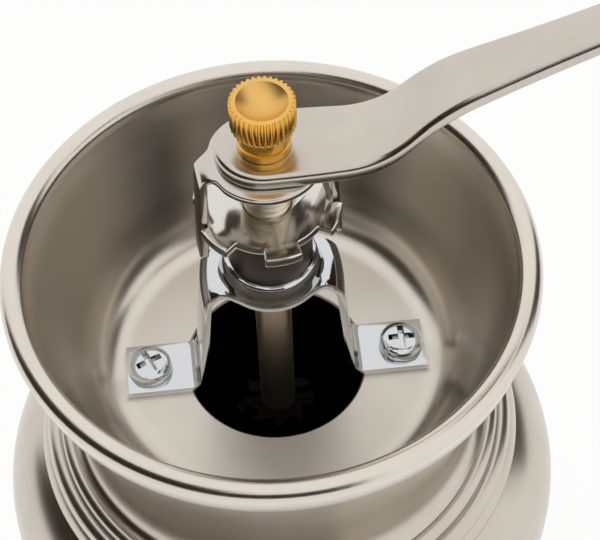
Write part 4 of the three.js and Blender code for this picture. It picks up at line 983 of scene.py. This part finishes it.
def nut_ridge():
    """One knurl's share of the head: from the bore out, over the ridge, into the dish and to its centre."""
    low = ARM_TOP + NECK_NUT_H
    top = low + HEAD_NUT_H
    # Radius, height and the knurl's share at each step of the section
    section = [(NUT_BORE, low + 0.3, 0), (NECK_NUT_R + 0.1, low + 0.05, 0), (HEAD_NUT_R - 0.4, low, 0),
               (HEAD_NUT_R - 0.22, low + 0.06, 0.5), (HEAD_NUT_R, low + 0.4, 1), (HEAD_NUT_R, top - 0.16, 1),
               (HEAD_NUT_R - 0.05, top - 0.04, 0.95), (HEAD_NUT_R - 0.14, top, 0.9), (DISH_R + 0.3, top, 0),
               (DISH_R + 0.12, top - 0.03, 0)]
    bowl_r = (DISH_R ** 2 + DISH ** 2) / (2 * DISH)
    widest = math.asin(DISH_R / bowl_r)
    for n in range(DISH_STEPS):
        slope = widest * (1 - n / DISH_STEPS)
        section.append((bowl_r * math.sin(slope), top - DISH + bowl_r * (1 - math.cos(slope)), 0))
    steps = len(RIDGE_SHARES) - 1
    turns = [math.tau / KNURLS * i / steps for i in range(steps + 1)]
    bm = bmesh.new()
    grid = []
    for radius, height, knurl in section:
        row = []
        for share, angle in zip(RIDGE_SHARES, turns):
            reach = radius - knurl * KNURL_DEPTH * share
            row.append(bm.verts.new((reach * math.cos(angle), reach * math.sin(angle), height)))
        grid.append(row)
    band_of(grid, bm, closed=False)
    centre = bm.verts.new((0, 0, top - DISH))
    for i in range(steps):
        bm.faces.new((grid[-1][i], grid[-1][i + 1], centre))
    roof_z = top - DISH - 1
    bore = [bm.verts.new((NUT_BORE * math.cos(a), NUT_BORE * math.sin(a), roof_z)) for a in turns]
    roof = bm.verts.new((0, 0, roof_z))
    for i in range(steps):
        bm.faces.new((bore[i], bore[i + 1], grid[0][i + 1], grid[0][i]))
        bm.faces.new((roof, bore[i + 1], bore[i]))
    for face in bm.faces:
        face.smooth = True
    bmesh.ops.scale(bm, vec=(MM, MM, MM), verts=bm.verts)
    mesh = bpy.data.meshes.new("ridge")
    bm.to_mesh(mesh)
    bm.free()
    return collection_object("ridge", mesh)


def nut():
    made = nut_neck()
    head = repeated("knurled_head", nut_ridge(), BRASS, KNURLS, merge=RIDGE_MERGE)
    joined = bmesh.new()
    joined.from_mesh(made.data)
    joined.from_mesh(head.data)
    joined.to_mesh(made.data)
    joined.free()
    bpy.data.objects.remove(head)
    return resharpened(made)


made = finished(nut(), BRASS, "nut", "cap_nut", slot="brass")
second_finish(made, BRASS_SATIN, HEAD_NUT_R - 0.5, above=ARM_TOP + NECK_NUT_H + 1)


# Knob: turned beech on a steel ferrule, with the pin's head sunk in its top

FERRULE_LOW, FERRULE_H, FERRULE_WALL = EYE_TOP + 0.8 + 0.3, 3.2, 0.6
KNOB_H, KNOB_BASE_R, KNOB_R, PIN_BORE = 33.0, 7.6, 13.6, 2.8
KNOB_TOP = FERRULE_LOW + KNOB_H
HEAD_HOLE, HEAD_SUNK = 4.7, 2.6


def knob():
    def up(share):
        return FERRULE_LOW + share * KNOB_H

    foot_r, foot_low, foot_high = KNOB_BASE_R - 0.65, FERRULE_LOW + 0.1, FERRULE_LOW + 3.25
    profile = [(PIN_BORE, foot_low), (foot_r, foot_low), (foot_r, foot_high)]
    profile += bezier([(KNOB_BASE_R * 0.98, foot_high), (KNOB_BASE_R * 0.93, up(0.22)), (6.6, up(0.3)),
                       (8.4, up(0.4)), (KNOB_R, up(0.44)), (KNOB_R, up(0.64))], 28)
    profile += bezier([(KNOB_R, up(0.64)), (KNOB_R, up(0.86)), (KNOB_R * 0.72, KNOB_TOP),
                       (HEAD_HOLE + 0.3, KNOB_TOP)], 20)[1:]
    profile += [(HEAD_HOLE, KNOB_TOP - 0.3), (HEAD_HOLE, KNOB_TOP - HEAD_SUNK),
                (PIN_BORE, KNOB_TOP - HEAD_SUNK)]
    return placed(turned("knob", profile, steps=128), (CRANK_R, 0, 0))


finished(knob(), WOOD, "knob", "crank_knob", slot="dark_wood")
ring = [(KNOB_BASE_R - FERRULE_WALL, FERRULE_LOW), (KNOB_BASE_R, FERRULE_LOW),
        (KNOB_BASE_R, FERRULE_LOW + FERRULE_H), (KNOB_BASE_R - FERRULE_WALL, FERRULE_LOW + FERRULE_H)]
ferrule = turned("ferrule", eased(ring, 0.2, 4), steps=96)
finished(placed(ferrule, (CRANK_R, 0, 0)), TURNED, "knob", "knob_ferrule", slot="turned_steel")


# Solids of the part that stay, with a finish for each

STAYS = {
    PLASTIC: ["cup_collar"],
    RUBBER: ["cup_seal"],
    BRONZE: ["bridge_bush", "bearing_bush"],
    NICKEL: ["bridge_nut_left", "bridge_nut_right", "bearing_bar", "bar_screw_front", "bar_screw_back",
             "burr_nut", "knob_washer"],
    CAST: ["burr_housing"],
    # The burrs and their washer and pin take the near black of painted shade
    BURR_STEEL: ["ring_burr", "inner_burr", "burr_washer", "burr_drive_pin"],
    TURNED: ["burr_retaining_ring", "knob_pin"],
}
for material, names in STAYS.items():
    for name in names:
        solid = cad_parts[name]
        for slot in solid.material_slots:
            slot.material = material


# Floor, dark cards, world and lamps

WHITE = "#ffffff"
# The floor is a little short of white, so that the object's shadow stays on it
FLOOR_WHITE = 0.94
FLOOR_HALF = 3


def seen_rays(tree, rays):
    """1 on the rays that show the white background: the camera's, and those that metal and glass send on."""
    seen = rays.outputs["Is Camera Ray"]
    for kind in ("Is Glossy Ray", "Is Transmission Ray"):
        both = node(tree, "ShaderNodeMath", {"operation": "MAXIMUM"}, in0=seen, in1=rays.outputs[kind])
        seen = both.outputs[0]
    return seen


def floor_material():
    """Matt white paper: near white to the camera and in reflections, with the object's soft shadow on it."""
    material, tree, shader = new_material("white_paper_sweep")
    place = node(tree, "ShaderNodeTexCoord").outputs["Object"]
    grain = node(tree, "ShaderNodeTexNoise", Vector=place, Scale=1 / (2 * MM), Detail=2.0)
    bump = node(tree, "ShaderNodeBump", Strength=0.05, Distance=0.02 * MM, Height=grain.outputs[0])
    wired(tree, shader, Base_Color=linear("#f4f3f1"), Roughness=0.9, Normal=bump.outputs[0])
    rays = node(tree, "ShaderNodeLightPath")
    white = node(tree, "ShaderNodeEmission", Color=linear(WHITE), Strength=1.0)
    seen = seen_rays(tree, rays)
    share = node(tree, "ShaderNodeMath", {"operation": "MULTIPLY"}, in0=seen, in1=FLOOR_WHITE)
    mix = node(tree, "ShaderNodeMixShader", in0=share.outputs[0], in1=shader.outputs[0], in2=white.outputs[0])
    tree.links.new(mix.outputs[0], tree.nodes["Material Output"].inputs["Surface"])
    return material


def staged(name, bm, material):
    mesh = bpy.data.meshes.new(name)
    bm.to_mesh(mesh)
    bm.free()
    obj = collection_object(name, mesh)
    obj.data.materials.append(material)
    return obj


bm = bmesh.new()
bmesh.ops.create_grid(bm, x_segments=1, y_segments=1, size=FLOOR_HALF)
staged("floor", bm, floor_material())

# Dark cards that stand round the object, so that bright metal has dark edges to mirror, as in a photograph of
# silverware: each from one azimuth to another, and from one elevation to another, in degrees
CARD_AWAY, CARD_LIFT, CARD_STEPS = 1.5, 0.1, 16
CARDS = {
    "left": (152, 246, 0, 54),
    "front": (246, 292, 0, 38),
    "right_back": (10, 38, 0, 45),
}


def card_material():
    """Dark brown matt card: almost black in the metal, a little warm."""
    material, tree, shader = new_material("dark_brown_card")
    place = node(tree, "ShaderNodeTexCoord").outputs["Object"]
    grain = node(tree, "ShaderNodeTexNoise", Vector=place, Scale=1 / (40 * MM), Detail=2.0)
    sheen = node(tree, "ShaderNodeMapRange", Value=grain.outputs[0], To_Min=0.9, To_Max=1.0)
    wired(tree, shader, Base_Color=linear("#3c2f24"), Roughness=sheen.outputs[0])
    shader.inputs["Specular IOR Level"].default_value = 0.0
    return material


def card(name, first, last, low, high, material):
    """A curved card about the object that only reflections meet."""
    bm = bmesh.new()
    line = arc((0, 0), CARD_AWAY, first, last, CARD_STEPS)
    rows = []
    for rise in (high, low):
        height = CARD_AWAY * math.tan(math.radians(rise)) + CARD_LIFT
        rows.append([bm.verts.new((x, y, height)) for x, y in line])
    band_of(rows, bm, closed=False)
    obj = staged(name, bm, material)
    obj.visible_camera = obj.visible_diffuse = obj.visible_shadow = obj.visible_transmission = False


dark_card = card_material()
for name, place in CARDS.items():
    card("card_" + name, *place, dark_card)


def studio_world():
    """White to the camera, in metal and through glass; the object itself is lit by a softer share of it."""
    world = bpy.data.worlds.new("studio")
    bpy.context.scene.world = world
    world.use_nodes = True
    tree = world.node_tree
    tree.nodes.clear()
    rays = node(tree, "ShaderNodeLightPath")
    white = node(tree, "ShaderNodeBackground", Color=linear(WHITE), Strength=1.0)
    light = node(tree, "ShaderNodeBackground", Color=linear("#f8f5f0"), Strength=0.6)
    mix = node(tree, "ShaderNodeMixShader", in0=seen_rays(tree, rays), in1=light.outputs[0],
               in2=white.outputs[0])
    node(tree, "ShaderNodeOutputWorld", Surface=mix.outputs[0])


studio_world()

# Where the lamps point, and the side of each one's square, in metres
AIM, LAMP_SIDE = (0, 0, 0.1), 0.5


def lamp(name, spot, watts, colour):
    """A square soft box, out of the metal's sight."""
    data = bpy.data.lights.new(name, "AREA")
    data.shape = "RECTANGLE"
    data.size, data.size_y = LAMP_SIDE, LAMP_SIDE
    data.energy = watts
    data.color = linear(colour)[:3]
    obj = collection_object(name, data)
    obj.location = spot
    obj.rotation_euler = (Vector(AIM) - Vector(spot)).to_track_quat("-Z", "Y").to_euler()
    obj.visible_glossy = False


lamp("key_softbox", (-0.5, 0.25, 0.8), 2.2, "#fff9f2")
lamp("fill_softbox", (0.6, -0.3, 0.6), 1.0, "#f4f7ff")


# Camera: its place in millimetres, and the ways that are right, down and ahead in the picture

STAND = Vector((-8.99, -177.461, 363.716))
RIGHT = Vector((0.99426, -0.10516, -0.0198))
DOWN = Vector((-0.0966, -0.8024, -0.58891))
AHEAD = Vector((0.04605, 0.58744, -0.80796))
LENS, SENSOR = 105.97, 36.0


def camera():
    data = bpy.data.cameras.new("camera")
    data.lens = LENS
    data.sensor_width = SENSOR
    data.clip_start = 0.01
    obj = collection_object("camera", data)
    turn = Matrix((RIGHT, -DOWN, -AHEAD)).transposed().to_quaternion()
    obj.matrix_world = Matrix.LocRotScale(STAND * MM, turn, None)
    bpy.context.scene.camera = obj


camera()
bpy.context.scene.view_settings.view_transform = "Standard"

bpy.context.view_layer.update()
